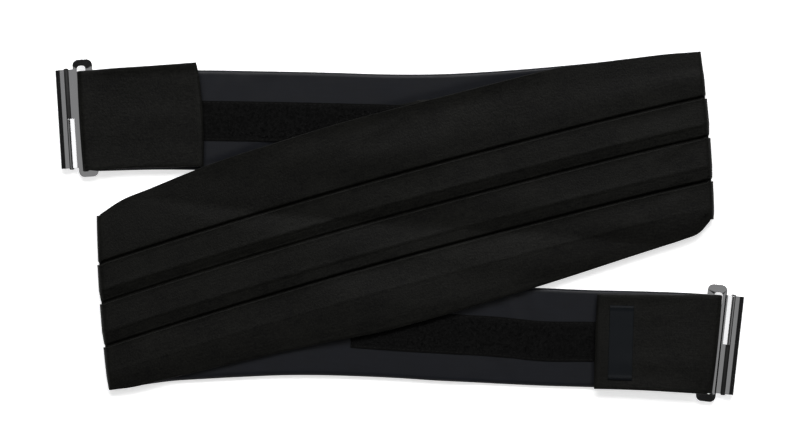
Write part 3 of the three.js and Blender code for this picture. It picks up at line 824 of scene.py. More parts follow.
def strip_outline(width, low, high, count, round_edge):
    """A flat strip's closed outline with rounded edges, from low to high."""
    middle, half = (low + high) / 2, (high - low) / 2
    edge = [
        (round_edge * (1 - math.sin(a)), middle + half * math.cos(a))
        for a in np.radians(np.linspace(180, 0, 7))
    ]
    across = [(v, high) for v in np.linspace(round_edge, width - round_edge, count)[1:-1]]
    right = [(width - v, n) for v, n in edge[::-1]]
    back = [(v, low) for v in np.linspace(width - round_edge, round_edge, count)[1:-1]]
    return np.array(edge + across + right + back)


def end_squeeze(rows, reach, least=0.25):
    """How much of its thickness a cloth keeps at each row, rounded off towards both its ends."""
    total = rows[-1].s
    squeeze = []
    for row in rows:
        inside = min(1.0, min(row.s, total - row.s) / reach)
        squeeze.append(max(least, math.sqrt(max(0.0, 1 - (1 - inside) ** 2))))
    return squeeze


def loft(name, rows, outlines, relief=None):
    """A closed cloth through rows. relief(points, row, outline) gives how far each point moves up."""
    count = len(outlines[0])
    points, uvs = [], []
    for row, outline in zip(rows, outlines):
        p = row.at(outline[:, 0], outline[:, 1])
        if relief:
            p[:, 2] += relief(p, row, outline)
        points.append(p)
        uvs.append(np.column_stack([np.full(count, row.s), outline[:, 0]]))
    faces = tube_faces(len(rows), count)
    return cloth_object(name, to_frame(np.vstack(points)), faces, np.vstack(uvs) * MM)


def tube_faces(rings, count):
    """The faces of a closed tube through rings of count points, with one face at each end."""
    faces = []
    last = (rings - 1) * count
    for first in range(0, last, count):
        for k in range(count):
            n = (k + 1) % count
            faces.append((first + k, first + count + k, first + count + n, first + n))
    return [*faces, tuple(range(count)), tuple(range(last + count - 1, last - 1, -1))]


def new_object(name, data):
    """An object in the scene that holds a mesh, light or camera."""
    obj = bpy.data.objects.new(name, data)
    bpy.context.scene.collection.objects.link(obj)
    return obj


def outward_mesh(name, vertices, faces):
    """A mesh whose faces point outwards, from the sign of the volume that they enclose."""
    mesh = bpy.data.meshes.new(name)
    mesh.from_pydata(vertices, [], faces)
    shape = bmesh.new()
    shape.from_mesh(mesh)
    if shape.calc_volume(signed=True) < 0:
        bmesh.ops.reverse_faces(shape, faces=shape.faces)
    shape.to_mesh(mesh)
    shape.free()
    return mesh


def cloth_object(name, vertices, faces, uv):
    """A smooth cloth with its flat coordinates."""
    mesh = outward_mesh(name, vertices.tolist(), faces)
    layer = mesh.uv_layers.new(name="cloth")
    index = np.zeros(len(mesh.loops), np.int32)
    mesh.loops.foreach_get("vertex_index", index)
    layer.data.foreach_set("uv", uv[index].ravel())
    mesh.polygons.foreach_set("use_smooth", np.ones(len(mesh.polygons), bool))
    mesh.validate()
    return new_object(name, mesh)


def final_mesh(obj):
    """The mesh that an object's modifiers make."""
    bpy.context.view_layer.update()
    graph = bpy.context.evaluated_depsgraph_get()
    return bpy.data.meshes.new_from_object(obj.evaluated_get(graph), depsgraph=graph)


def finish_piece(obj, material, slot, *nodes):
    """Gives a piece its material, hangs it under the root body and hides the frame's parts that it replaces.
    """
    if material:
        obj.data.materials.clear()
        obj.data.materials.append(material)
    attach(obj, "root")
    if nodes:
        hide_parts(*nodes)
    return obj


def join(tree, socket, value):
    """Links an output to a socket, or sets the socket to a plain value."""
    if isinstance(value, bpy.types.NodeSocket):
        tree.links.new(value, socket)
    else:
        socket.default_value = value


def add_node(tree, kind, settings=None, **inputs):
    """Adds a node with its settings and with its inputs by name."""
    node = tree.nodes.new(kind)
    for key, value in (settings or {}).items():
        setattr(node, key, value)
    for key, value in inputs.items():
        join(tree, node.inputs[key.replace("_", " ")], value)
    return node


class Shader:
    """A material's node tree, with short ways to add and join nodes."""

    def __init__(self, name, colour, roughness, specular=0.5, metallic=0.0):
        self.material = bpy.data.materials.new(name)
        self.material.use_nodes = True
        self.tree = self.material.node_tree
        self.surface = self.tree.nodes["Principled BSDF"]
        self.set("Base Color", (*colour, 1))
        self.set("Roughness", roughness)
        self.set("Specular IOR Level", specular)
        self.set("Metallic", metallic)

    def set(self, socket, value):
        """Sets one of the surface's inputs."""
        self.surface.inputs[socket].default_value = value

    def link(self, output, socket):
        """Links an output to one of the surface's inputs."""
        self.tree.links.new(output, self.surface.inputs[socket])

    def add(self, kind, settings=None, **inputs):
        """Adds a node to the material."""
        return add_node(self.tree, kind, settings, **inputs)

    def math(self, operation, a, b=0.0):
        """The result of a Math node."""
        node = self.add("ShaderNodeMath", {"operation": operation})
        join(self.tree, node.inputs[0], a)
        join(self.tree, node.inputs[1], b)
        return node.outputs[0]

    def blend(self, *parts):
        """The sum of outputs, each times its weight."""
        weighted = [self.math("MULTIPLY", output, weight) for output, weight in parts]
        total = weighted[0]
        for part in weighted[1:]:
            total = self.math("ADD", total, part)
        return total

    def range(self, value, low, high, to_low, to_high):
        """A value moved from one range to another."""
        node = self.add(
            "ShaderNodeMapRange", Value=value, From_Min=low, From_Max=high, To_Min=to_low, To_Max=to_high
        )
        return node.outputs[0]

    def ribs(self, value, scale):
        """Round ribs from 0 to 1 across a value."""
        return self.math("ABSOLUTE", self.math("SINE", self.math("MULTIPLY", value, scale)))

    def noise(self, scale, detail, roughness=0.5, place=None):
        """Noise in the object's own coordinates, or in the ones given."""
        if place is None:
            place = self.place()
        node = self.add("ShaderNodeTexNoise", Vector=place, Scale=scale, Detail=detail, Roughness=roughness)
        return node.outputs["Fac"]

    def streaks(self, place, scales, detail):
        """Noise with its own scale along each direction."""
        stretched = self.add("ShaderNodeMapping", Vector=place, Scale=scales)
        return self.noise(1.0, detail, place=stretched.outputs[0])

    def place(self):
        """The object's own coordinates."""
        return self.add("ShaderNodeTexCoord").outputs["Object"]

    def flat(self):
        """The cloth's flat coordinates, then how far along and across the cloth they are."""
        uv = self.add("ShaderNodeUVMap", {"uv_map": "cloth"}).outputs["UV"]
        parts = self.add("ShaderNodeSeparateXYZ", Vector=uv)
        return uv, parts.outputs["X"], parts.outputs["Y"]

    def bump(self, height, distance, strength):
        """Relief from a height."""
        node = self.add("ShaderNodeBump", Height=height, Distance=distance, Strength=strength)
        self.link(node.outputs["Normal"], "Normal")

    def tint(self, colour, factor, low, high):
        """Base colour that goes from low to high times the colour, as factor goes from 0 to 1."""
        ramp = self.add("ShaderNodeValToRGB", Fac=factor)
        for stop, scale in zip(ramp.color_ramp.elements, (low, high)):
            stop.color = (*[c * scale for c in colour], 1)
        self.link(ramp.outputs["Color"], "Base Color")


def thread_height(shader, pitch, float_length):
    """Satin's threads: fine ribs along the cloth, each broken where it dips under a crossing thread."""
    uv, x, y = shader.flat()
    along = shader.math("DIVIDE", x, pitch)
    across = shader.math("DIVIDE", y, pitch)
    shift = shader.math("MULTIPLY", shader.math("FLOOR", across), WEAVE_SHIFT * float_length)
    phase = shader.math("FRACT", shader.math("DIVIDE", shader.math("ADD", along, shift), float_length))
    from_middle = shader.math("ABSOLUTE", shader.math("SUBTRACT", phase, 0.5))
    dip = shader.range(from_middle, WEAVE_DIP, 0.5, 1, 0)
    return shader.math("MULTIPLY", shader.ribs(across, math.pi), dip), uv


def satin_material(scene):
    """Black face satin."""
    colour = scene.sash_colours.satin
    shader = Shader("black_satin", colour, 0.5, 0.1)
    threads, uv = thread_height(shader, scene.sash_sizes.thread_pitch, 5)
    streaks = shader.streaks(uv, (160, 1500, 1), 3.0)
    cloudy = shader.noise(42.0, 4.0, 0.6)
    fleck = shader.noise(950.0, 1.0)
    shade = shader.blend((streaks, 0.375), (fleck, 0.375), (cloudy, 0.25))
    shader.tint(colour, shader.range(shade, 0.38, 0.62, 0, 1), 0.2, 2.1)
    shader.link(shader.range(shade, 0.3, 0.7, 0.56, 0.44), "Roughness")
    shader.bump(shader.blend((threads, 1), (streaks, 1.6), (fleck, 4.5)), 0.00003, 0.8)
    return shader.material


def lining_material(scene):
    """Blue-black lining satin, with finer threads."""
    colour = scene.sash_colours.lining
    shader = Shader("lining_satin", colour, 0.42, 0.18)
    threads, uv = thread_height(shader, scene.sash_sizes.thread_pitch * LINING_PITCH, 4)
    streaks = shader.streaks(uv, (60, 700, 1), 3.0)
    shade = shader.blend((streaks, 0.45), (shader.noise(60.0, 4.0, 0.55), 0.55))
    shader.tint(colour, shader.range(shade, 0.3, 0.7, 0, 1), 0.75, 1.25)
    shader.link(shader.range(shade, 0.3, 0.7, 0.44, 0.3), "Roughness")
    shader.bump(shader.blend((threads, 1), (streaks, 1)), 0.00002, 0.5)
    return shader.material


def loop_material(name, colour, low, high):
    """Matt loop tape, from low to high times its colour."""
    shader = Shader(name, colour, 0.9, 0.1)
    grain = shader.noise(720.0, 2.0)
    shader.tint(colour, shader.range(grain, 0.4, 0.62, 0, 1), low, high)
    shader.bump(grain, 0.0001, 0.8)
    return shader.material


def tape_material(scene):
    """The loop tape's ribbon."""
    return loop_material("loop_tape", scene.sash_colours.tape, 0.7, 1.5)


def pile_material(scene):
    """The loop tape's pile, which is speckled."""
    return loop_material("loop_pile", scene.sash_colours.tape, 0.0, 5.0)


def label_material(scene):
    """Navy woven ribbon."""
    shader = Shader("label_ribbon", scene.sash_colours.label, 0.55, 0.12)
    _, x, y = shader.flat()
    weave = shader.math("MULTIPLY", shader.ribs(x, 7000.0), shader.ribs(y, 9000.0))
    shader.tint(scene.sash_colours.label, weave, 0.75, 1.25)
    shader.bump(weave, 0.00004, 0.7)
    return shader.material


def metal_material(scene):
    """Polished metal with faint smears and scratches."""
    shader = Shader("polished_metal", scene.sash_colours.metal, 0.12, metallic=1.0)
    scratches = shader.streaks(shader.place(), (2500, 90, 90), 2.0)
    shader.link(shader.range(shader.noise(90.0, 5.0), 0.3, 0.7, 0.04, 0.09), "Roughness")
    shader.bump(scratches, 0.000002, 0.6)
    return shader.material


def blackened_material(scene):
    """Dull blackened metal."""
    shader = Shader("blackened_metal", scene.sash_colours.dark_metal, 0.5, 0.1)
    shader.bump(shader.noise(1500.0, 3.0), 0.00001, 0.5)
    return shader.material


def thread_material(scene):
    """Sewing thread, a little paler than the satin."""
    shader = Shader("sewing_thread", [c * 1.2 for c in scene.sash_colours.satin], 0.6, 0.15)
    shader.bump(shader.noise(4000.0, 1.0), 0.00003, 0.6)
    return shader.material


MAKERS = {
    "satin": satin_material,
    "lining": lining_material,
    "tape": tape_material,
    "pile": pile_material,
    "label": label_material,
    "metal": metal_material,
    "dark_metal": blackened_material,
    "thread": thread_material,
}
MATERIALS = {}


def material(name):
    """The named material, made the first time that a piece asks for it."""
    if name not in MATERIALS:
        MATERIALS[name] = MAKERS[name](bpy.context.scene)
    return MATERIALS[name]


def node_group(name, **inputs):
    """A geometry node group with its named inputs, and its input and output nodes."""
    tree = bpy.data.node_groups.new(name, "GeometryNodeTree")
    tree.interface.new_socket("Geometry", in_out="INPUT", socket_type="NodeSocketGeometry")
    for label, kind in inputs.items():
        tree.interface.new_socket(label.replace("_", " "), in_out="INPUT", socket_type="NodeSocket" + kind)
    tree.interface.new_socket("Geometry", in_out="OUTPUT", socket_type="NodeSocketGeometry")
    return tree, tree.nodes.new("NodeGroupInput"), tree.nodes.new("NodeGroupOutput")


def finish_group(tree, start, end, laid):
    """Ends a node group: its instances are made real, smooth and of the material that comes in."""
    real = add_node(tree, "GeometryNodeRealizeInstances", Geometry=laid.outputs[0])
    soft = add_node(tree, "GeometryNodeSetShadeSmooth", Geometry=real.outputs[0])
    dressed = add_node(
        tree, "GeometryNodeSetMaterial", Geometry=soft.outputs[0], Material=start.outputs["Material"]
    )
    tree.links.new(dressed.outputs[0], end.inputs[0])
    return tree


def stitch_tree():
    """Stitches laid end to end along each line of a mesh."""
    tree, start, end = node_group("stitches", Pitch="Float", Size="Vector", Material="Material")
    curve = add_node(tree, "GeometryNodeMeshToCurve", Mesh=start.outputs["Geometry"])
    spaced = add_node(
        tree, "GeometryNodeResampleCurve", {"mode": "LENGTH"},
        Curve=curve.outputs[0], Length=start.outputs["Pitch"],
    )
    tangent = add_node(tree, "GeometryNodeInputTangent")
    turn = add_node(tree, "FunctionNodeAlignRotationToVector", {"axis": "X"}, Vector=tangent.outputs[0])
    stitch = add_node(tree, "GeometryNodeMeshUVSphere", Segments=6, Rings=4, Radius=0.5)
    laid = add_node(
        tree, "GeometryNodeInstanceOnPoints",
        Points=spaced.outputs[0], Instance=stitch.outputs["Mesh"],
        Rotation=turn.outputs[0], Scale=start.outputs["Size"],
    )
    return finish_group(tree, start, end, laid)


def pile_tree():
    """Small thread loops standing at random over a surface."""
    tree, start, end = node_group(
        "loop pile",
        Density="Float", Loop_Radius="Float", Thread_Radius="Float", Seed="Int", Material="Material",
    )
    seed = start.outputs["Seed"]
    spread = add_node(
        tree, "GeometryNodeDistributePointsOnFaces",
        Mesh=start.outputs["Geometry"], Density=start.outputs["Density"], Seed=seed,
    )
    bend = add_node(
        tree, "GeometryNodeCurveArc",
        Resolution=5, Radius=start.outputs["Loop Radius"], Start_Angle=-0.35, Sweep_Angle=3.84,
    )
    upright = add_node(
        tree, "GeometryNodeTransform", Geometry=bend.outputs[0], Rotation=(math.pi / 2, 0, 0)
    )
    section = add_node(
        tree, "GeometryNodeCurvePrimitiveCircle", Resolution=3, Radius=start.outputs["Thread Radius"]
    )
    loop = add_node(
        tree, "GeometryNodeCurveToMesh", Curve=upright.outputs[0], Profile_Curve=section.outputs[0]
    )
    tilt = add_node(
        tree, "FunctionNodeRandomValue", {"data_type": "FLOAT_VECTOR"},
        Min=(-0.5, -0.5, -3.14), Max=(0.5, 0.5, 3.14), Seed=seed,
    )
    size = add_node(tree, "FunctionNodeRandomValue", {"data_type": "FLOAT"}, Seed=seed)
    size.inputs[2].default_value, size.inputs[3].default_value = PILE_SIZES
    laid = add_node(
        tree, "GeometryNodeInstanceOnPoints",
        Points=spread.outputs["Points"], Instance=loop.outputs[0],
        Rotation=tilt.outputs["Value"], Scale=size.outputs[1],
    )
    return finish_group(tree, start, end, laid)


def grown(name, base, tree, values):
    """The mesh that a geometry node tree makes from a base object, which is then removed."""
    modifier = base.modifiers.new("grow", "NODES")
    modifier.node_group = tree
    for item in tree.interface.items_tree:
        if item.in_out == "INPUT" and item.name in values:
            modifier[item.identifier] = values[item.name]
    mesh = final_mesh(base)
    mesh.name = name
    obj = new_object(name, mesh)
    base.modifiers.remove(modifier)
    bpy.data.objects.remove(base)
    return obj


def lines_object(name, lines):
    """A mesh of loose edges along each line of points, in millimetres."""
    vertices, edges = [], []
    for line in lines:
        first = len(vertices)
        vertices += to_frame(line).tolist()
        edges += [(k, k + 1) for k in range(first, len(vertices) - 1)]
    mesh = bpy.data.meshes.new(name)
    mesh.from_pydata(vertices, edges, [])
    return new_object(name, mesh)


def sew(name, lines, slot="satin"):
    """Stitches along lines of points."""
    sizes = bpy.context.scene.sash_sizes
    values = {
        "Pitch": sizes.stitch_length + sizes.stitch_gap,
        "Size": (sizes.stitch_length, 2 * sizes.stitch_radius, 2 * sizes.stitch_radius),
        "Material": material("thread"),
    }
    obj = grown(name, lines_object(name + "_lines", lines), stitch_tree(), values)
    return finish_piece(obj, None, slot)


def line_on(rows, v, n):
    """Points along rows, at v from the top edge, or from the bottom edge where v is below zero."""
    points = [
        row.at(np.array([v if v >= 0 else row.width + v]), np.array([n]))[0] for row in rows
    ]
    return np.array(points)


def bow_end(rows, reach):
    """Bows the free end of rows outwards, over their last length."""
    end = rows[-1]
    out = (end.top - rows[0].top) / np.linalg.norm(end.top - rows[0].top)
    for row in rows:
        from_end = np.linalg.norm(end.top - row.top)
        push = 4 * reach * float(smooth(BOW_LENGTH, 0, from_end))

        def at(v, n, straight=row.at, width=row.width, push=push):
            share = np.clip(v / width, 0, 1) ** BOW_POWER
            points = straight(v, n)
            points[:, :2] += np.outer(push * share * (1 - share), out)
            return points

        row.at = at


def strap_run(table, step):
    """The rows of a strap's run along the floor, face down."""
    return [flat_row(line, -1, even_level(STRAP_SPACE)) for line in fine_lines(table, step)]


def strap_rows(strap_table, tab_table, outwards, step, bow):
    """A strap's rows: along the floor, round the clasp's bar and back as a tab."""
    turns = (LOOP_HEIGHT, LOOP_RADIUS, LOOP_BOW, math.pi, 0, LOOP_STEPS)
    loop = fold_rows(strap_table[-1], outwards, *turns)
    tab = [flat_row(line, 1, even_level(TAB_LEVEL)) for line in fine_lines(tab_table, step)]
    bow_end(tab, bow)
    return measured(strap_run(strap_table, STRAP_STEP * step) + loop + tab), tab


def tab_swell(x, y):
    """The soft swell of the tabs' upper faces."""
    return ripples(TAB_WAVES, TAB_CREASES, x, y)


def strap_outline(row, side, keep, to_end):
    """A strap's section at a row, with beaded edges, and with the tab's rolled edge and hem."""
    outline = strip_outline(row.width, STRAP_INNER, STRAP_OUTER, STRAP_POINTS, STRAP_ROUND)
    v, n = outline[:, 0], outline[:, 1]
    from_edge = np.minimum(v, row.width - v)
    rise = BEAD_HEIGHT * np.exp(-(((from_edge - BEAD_AT) / BEAD_WIDTH) ** 2))
    rise += TAB_ROLLS[side] * np.exp(-((v / ROLL_WIDTH) ** 2)) * float(smooth(*ROLL_ENDS, to_end))
    rise += TAB_HEMS[side] * float(smooth(*HEM_ENDS, to_end))
    n += np.where(n > STRAP_MIDDLE, rise, 0)
    outline[:, 1] = STRAP_MIDDLE + (n - STRAP_MIDDLE) * keep
    return outline


def make_strap(side, strap_table, tab_table, outwards):
    """One strap, and the rows of its tab."""
    step = bpy.context.scene.sash_sizes.row_step
    rows, tab = strap_rows(strap_table, tab_table, outwards, step, TAB_BOWS[side])
    total = rows[-1].s
    squeeze = end_squeeze(rows, STRAP_END)
    outlines = [strap_outline(row, side, keep, total - row.s) for row, keep in zip(rows, squeeze)]
    tab_start = total - (tab[-1].s - tab[0].s)

    def relief(points, row, outline):
        if row.s < tab_start:
            return np.zeros(len(points))
        free = float(smooth(0, TAB_START, row.s - tab_start))
        share = UNDER_SHARE + (1 - UNDER_SHARE) * (outline[:, 1] > STRAP_MIDDLE)
        return free * tab_swell(points[:, 0], points[:, 1]) * share

    obj = loft(side + "_strap_satin", rows, outlines, relief)
    lift_off_floor(obj)
    finish_piece(obj, material("satin"), "satin", side + "_strap")
    return obj, tab


def lift_off_floor(obj):
    """Keeps every point of an object just above the floor."""
    for vertex in obj.data.vertices:
        vertex.co.z = max(vertex.co.z, FLOOR_GAP)


def tape_level(tail_table, outwards):
    """The level of a loop tape, which lies on a tail's lining and on the strap's beyond the seam."""
    seam = tail_table[-1][0]

    def level(x, y):
        thin = np.where(outwards * (x - seam) > 0, SEAM_THIN, thin_at(x, seam))
        return TAIL_LEVEL * thin + TAPE_SEAT

    return level


def strip(name, lines, level, faces, points, round_edge):
    """A flat strip of cloth through lines, face up, and its rows."""
    rows = measured([flat_row(line, 1, level) for line in lines])
    outlines = [strip_outline(row.width, *faces, points, round_edge) for row in rows]
    return loft(name, rows, outlines), rows


def cross_lines(centre, along, across, length, width, count):
    """Lines of a width that lie across a straight strip, from one end to the other."""
    middles = centre + np.outer(np.linspace(-length / 2, length / 2, count), along)
    return [(*(middle + across * width / 2), *(middle - across * width / 2)) for middle in middles]


def rounded_loop(x_low, x_high, half_length, corner, steps=6):
    """A rounded rectangle's points, across and along, with two on each long side where the bend starts."""
    points = []
    for centre_x, centre_y, start in (
        (x_high - corner, half_length - corner, 0),
        (x_low + corner, half_length - corner, 90),
        (x_low + corner, corner - half_length, 180),
        (x_high - corner, corner - half_length, 270),
    ):
        for angle in np.radians(np.linspace(start, start + 90, steps + 1)):
            points.append((centre_x + corner * math.cos(angle), centre_y + corner * math.sin(angle)))
        if start == 90:
            points += [(x_low, BENT_FROM), (x_low, -BENT_FROM)]
    return [*points, (x_high, -BENT_FROM), (x_high, BENT_FROM)]


def filleted(line):
    """A line of points with each corner rounded by its radius."""
    points = []
    for k, (x, y, radius) in enumerate(line):
        here = Vector((x, y))
        if radius == 0:
            points.append(here)
            continue
        back = (Vector(line[k - 1][:2]) - here).normalized()
        on = (Vector(line[k + 1][:2]) - here).normalized()
        half = back.angle(on) / 2
        reach = radius / math.tan(half)
        centre = here + (back + on).normalized() * (radius / math.sin(half))
        first, last = here + back * reach, here + on * reach
        start = math.atan2(*(first - centre).yx)
        sweep = math.atan2(*(last - centre).yx) - start
        sweep = (sweep + math.pi) % (2 * math.pi) - math.pi
        for share in np.linspace(0, 1, 9):
            angle = start + sweep * share
            points.append(centre + radius * Vector((math.cos(angle), math.sin(angle))))
    return np.array([tuple(p) for p in points])


def extruded(name, outline, low, high):
    """A closed solid from an outline across the clasp, between two places along it."""
    count = len(outline)
    vertices = [(x, along, z) for along in (low, high) for x, z in outline]
    faces = [tuple(range(count - 1, -1, -1)), tuple(range(count, 2 * count))]
    faces += [(k, (k + 1) % count, (k + 1) % count + count, k + count) for k in range(count)]
    return metal_object(name, vertices, faces)


def metal_object(name, vertices, faces):
    """A metal piece with finely rounded edges."""
    obj = new_object(name, outward_mesh(name, vertices, faces))
    bevel = obj.modifiers.new("bevel", "BEVEL")
    bevel.width = METAL_EDGE
    bevel.segments = 5
    bevel.limit_method = "ANGLE"
    bevel.angle_limit = math.radians(50)
    return baked(obj)


def baked(obj):
    """The object with its modifiers applied."""
    mesh = final_mesh(obj)
    obj.modifiers.clear()
    obj.data = mesh
    return obj


def clasp_frame(name, slot_length):
    """The flat frame with its slot."""
    half = FRAME_WIDTH / 2
    outer = rounded_loop(-half, half, FRAME_LENGTH / 2, FRAME_CORNER)
    inner = rounded_loop(SLOT_FROM, SLOT_TO, slot_length / 2, SLOT_CORNER)
    count = len(outer)
    bottom, top = LOOP_HEIGHT - METAL / 2, LOOP_HEIGHT + METAL / 2
    vertices = [(x, y, z) for z in (bottom, top) for ring in (outer, inner) for x, y in ring]
    low_in, high_out, high_in = count, 2 * count, 3 * count
    faces = []
    for k in range(count):
        n = (k + 1) % count
        faces += [
            (k, n, high_out + n, high_out + k),
            (low_in + k, high_in + k, high_in + n, low_in + n),
            (k, low_in + k, low_in + n, n),
            (high_out + k, high_out + n, high_in + n, high_in + k),
        ]
    return metal_object(name, vertices, faces)


def make_clasp(name, place, slot_length):
    """One clasp half: its frame, hook plate and tongue in one piece of metal."""
    end = PLATE_LENGTH / 2
    ring = clasp_frame(name + "_polished", slot_length)
    plate = extruded(name + "_plate", thick_outline(filleted(HOOK_LINE), METAL), -end, end)
    tongue = extruded(name + "_tongue", TONGUE, 0, end)
    for other in (plate, tongue):
        union = ring.modifiers.new("join", "BOOLEAN")
        union.operation = "UNION"
        union.solver = "EXACT"
        union.object = other
    baked(ring)
    for other in (plate, tongue):
        bpy.data.objects.remove(other)
    for vertex in ring.data.vertices:
        vertex.co.z -= BENT_SLOPE * max(0.0, -vertex.co.y - BENT_FROM)
    place_metal(ring, place, SMOOTH_ANGLE)
    even = ring.modifiers.new("even", "WEIGHTED_NORMAL")
    even.keep_sharp = True
    even.weight = 100
    finish_piece(baked(ring), material("metal"), "metal", name)


def place_metal(obj, place, angle):
    """Turns and moves a clasp's piece to its place, smooth except at edges sharper than the angle."""
    x, y, turn = place
    points = np.array([v.co for v in obj.data.vertices])
    along, across = turned(points[:, 0], points[:, 1], -turn)
    moved = np.column_stack([x + along, y + across, points[:, 2]])
    obj.data.vertices.foreach_set("co", to_frame(moved).ravel())
    obj.data.update()
    obj.data.polygons.foreach_set("use_smooth", np.ones(len(obj.data.polygons), bool))
    obj.data.set_sharp_from_angle(angle=math.radians(angle))


def make_pin(name, place):
    """A round pin with rounded ends."""
    half = PIN_LENGTH / 2
    rings = [(from_end - half, size) for from_end, size in PIN_END]
    rings += [(half - from_end, size) for from_end, size in PIN_END[::-1]]
    vertices = []
    for along, size in rings:
        for k in range(PIN_SIDES):
            angle = 2 * math.pi * k / PIN_SIDES
            across = PIN_AT[0] + size * PIN_SECTION[0] * math.cos(angle)
            vertices.append((across, along, PIN_AT[1] + size * PIN_SECTION[1] * math.sin(angle)))
    obj = new_object(name + "_round", outward_mesh(name, vertices, tube_faces(len(rings), PIN_SIDES)))
    place_metal(obj, place, PIN_SMOOTH_ANGLE)
    finish_piece(obj, material("dark_metal"), "dark_metal", name)


def make_floor(colour):
    """The pale table."""
    bpy.ops.mesh.primitive_plane_add(size=8)
    floor = bpy.context.object
    floor.name = "floor"
    shader = Shader("floor_paper", colour, 0.9, 0.1)
    shader.set("Emission Color", (1, 1, 1, 1))
    shader.set("Emission Strength", FLOOR_GLOW)
    floor.data.materials.append(shader.material)


def make_sky(scene):
    """The studio around the sash, which the metal reflects."""
    world = bpy.data.worlds.new("studio")
    world.use_nodes = True
    tree = world.node_tree
    sky = add_node(tree, "ShaderNodeTexCoord")
    height = add_node(tree, "ShaderNodeSeparateXYZ", Vector=sky.outputs["Generated"])
    shade = add_node(tree, "ShaderNodeValToRGB", Fac=height.outputs["Z"])
    for _ in SKY[2:]:
        shade.color_ramp.elements.new(0.5)
    for stop, (at, level) in zip(shade.color_ramp.elements, SKY):
        stop.position = at
        stop.color = (level, level, level, 1)
    tree.links.new(shade.outputs["Color"], tree.nodes["Background"].inputs["Color"])
    scene.world = world


def make_light(name, place, size, watts):
    """A soft light that faces the sash."""
    light = bpy.data.lights.new(name, "AREA")
    light.shape = "RECTANGLE"
    light.size, light.size_y = size
    light.energy = watts
    lamp = new_object(name, light)
    lamp.location = place
    lamp.rotation_euler = (-Vector(place)).to_track_quat("-Z", "Y").to_euler()


def make_camera(scene):
    """The photo's view, from straight above."""
    lens = bpy.data.cameras.new("camera")
    lens.lens = LENS
    lens.sensor_width = SENSOR
    scene.camera = new_object("camera", lens)
    x, y, z = to_frame(VIEW_CENTRE)
    scene.camera.location = (x, y, z + VIEW_WIDTH * LENS / SENSOR)


class SASH_OT_stage(bpy.types.Operator):
    """Makes the pale floor, the soft lights and the camera"""

    bl_idname = "sash.stage"
    bl_label = "Stage"

    def execute(self, context):
        context.scene.view_settings.view_transform = "Standard"
        make_floor(context.scene.sash_colours.floor)
        make_sky(context.scene)
        for light in LIGHTS:
            make_light(*light)
        make_camera(context.scene)
        return {"FINISHED"}


class SASH_OT_front(bpy.types.Operator):
    """Makes the pleated front and its two tails"""

    bl_idname = "sash.front"
    bl_label = "Pleated front"

    def execute(self, context):
        rows = sash_rows(context.scene.sash_sizes.row_step)
        outlines = []
        for row, keep in zip(rows, end_squeeze(rows, FRONT_END)):
            outline = thick_outline(pleated_path(row), CLOTH)
            outline[:, 1] = FRONT_MIDDLE + (outline[:, 1] - FRONT_MIDDLE) * keep
            outlines.append(outline)
        obj = loft("pleated_satin", rows, outlines)
        lift_off_floor(obj)
        finish_piece(obj, material("satin"), "satin", "pleated_front")
        return {"FINISHED"}


def lining_relief(points, row, outline):
    """The lining's ripples on the tails, and its dip beside the front's top edge."""
    x, y = points[:, 0], points[:, 1]
    from_edge = np.minimum(outline[:, 0], row.width - outline[:, 0])
    beyond = y - edge_at(PANEL_ROWS, 0, x)
    dip = DIP * np.clip(1 - beyond / DIP_REACH, 0, 1) ** DIP_POWER * smooth(*DIP_HIDDEN, beyond)
    relief = (ripples(LINING_WAVES, LINING_CREASES, x, y) - dip) * smooth(*LINING_FREE, from_edge)
    return np.where(points[:, 2] < FOLD_HEIGHT, relief, 0)


class SASH_OT_lining(bpy.types.Operator):
    """Makes the satin lining"""

    bl_idname = "sash.lining"
    bl_label = "Lining"

    def execute(self, context):
        step = LINING_STEP * context.scene.sash_sizes.row_step
        left, right = [
            [row for row in strap_run(table, step)[1:] if abs(row.top[0]) < LINING_REACH]
            for table in (LEFT_STRAP_ROWS, RIGHT_STRAP_ROWS)
        ]
        rows = measured(left[::-1] + sash_rows(step) + right)
        outlines = [thick_outline(lining_path(row), LINING_CLOTH) for row in rows]
        obj = loft("lining_satin", rows, outlines, lining_relief)
        finish_piece(obj, material("lining"), "lining", "lining")
        return {"FINISHED"}


class SASH_OT_straps(bpy.types.Operator):
    """Makes both straps, with their tabs and hem stitches"""

    bl_idname = "sash.straps"
    bl_label = "Straps and tabs"

    def execute(self, context):
        from_end, inset, height = HEM_STITCHES
        for side, run, tab_table, outwards in (
            ("left", LEFT_STRAP_ROWS, LEFT_TAB_ROWS, -1),
            ("right", RIGHT_STRAP_ROWS, RIGHT_TAB_ROWS, 1),
        ):
            obj, tab = make_strap(side, run, tab_table, outwards)
            end = tab[-1]
            v = np.linspace(inset, end.width - inset, STITCHED_POINTS)
            inward = (tab[0].top - end.top) / np.linalg.norm(tab[0].top - end.top)
            line = end.at(v, np.full_like(v, height + TAB_HEMS[side]))
            line[:, :2] += inward * from_end
            hem = sew(side + "_hem_stitches", [line])
        return {"FINISHED"}


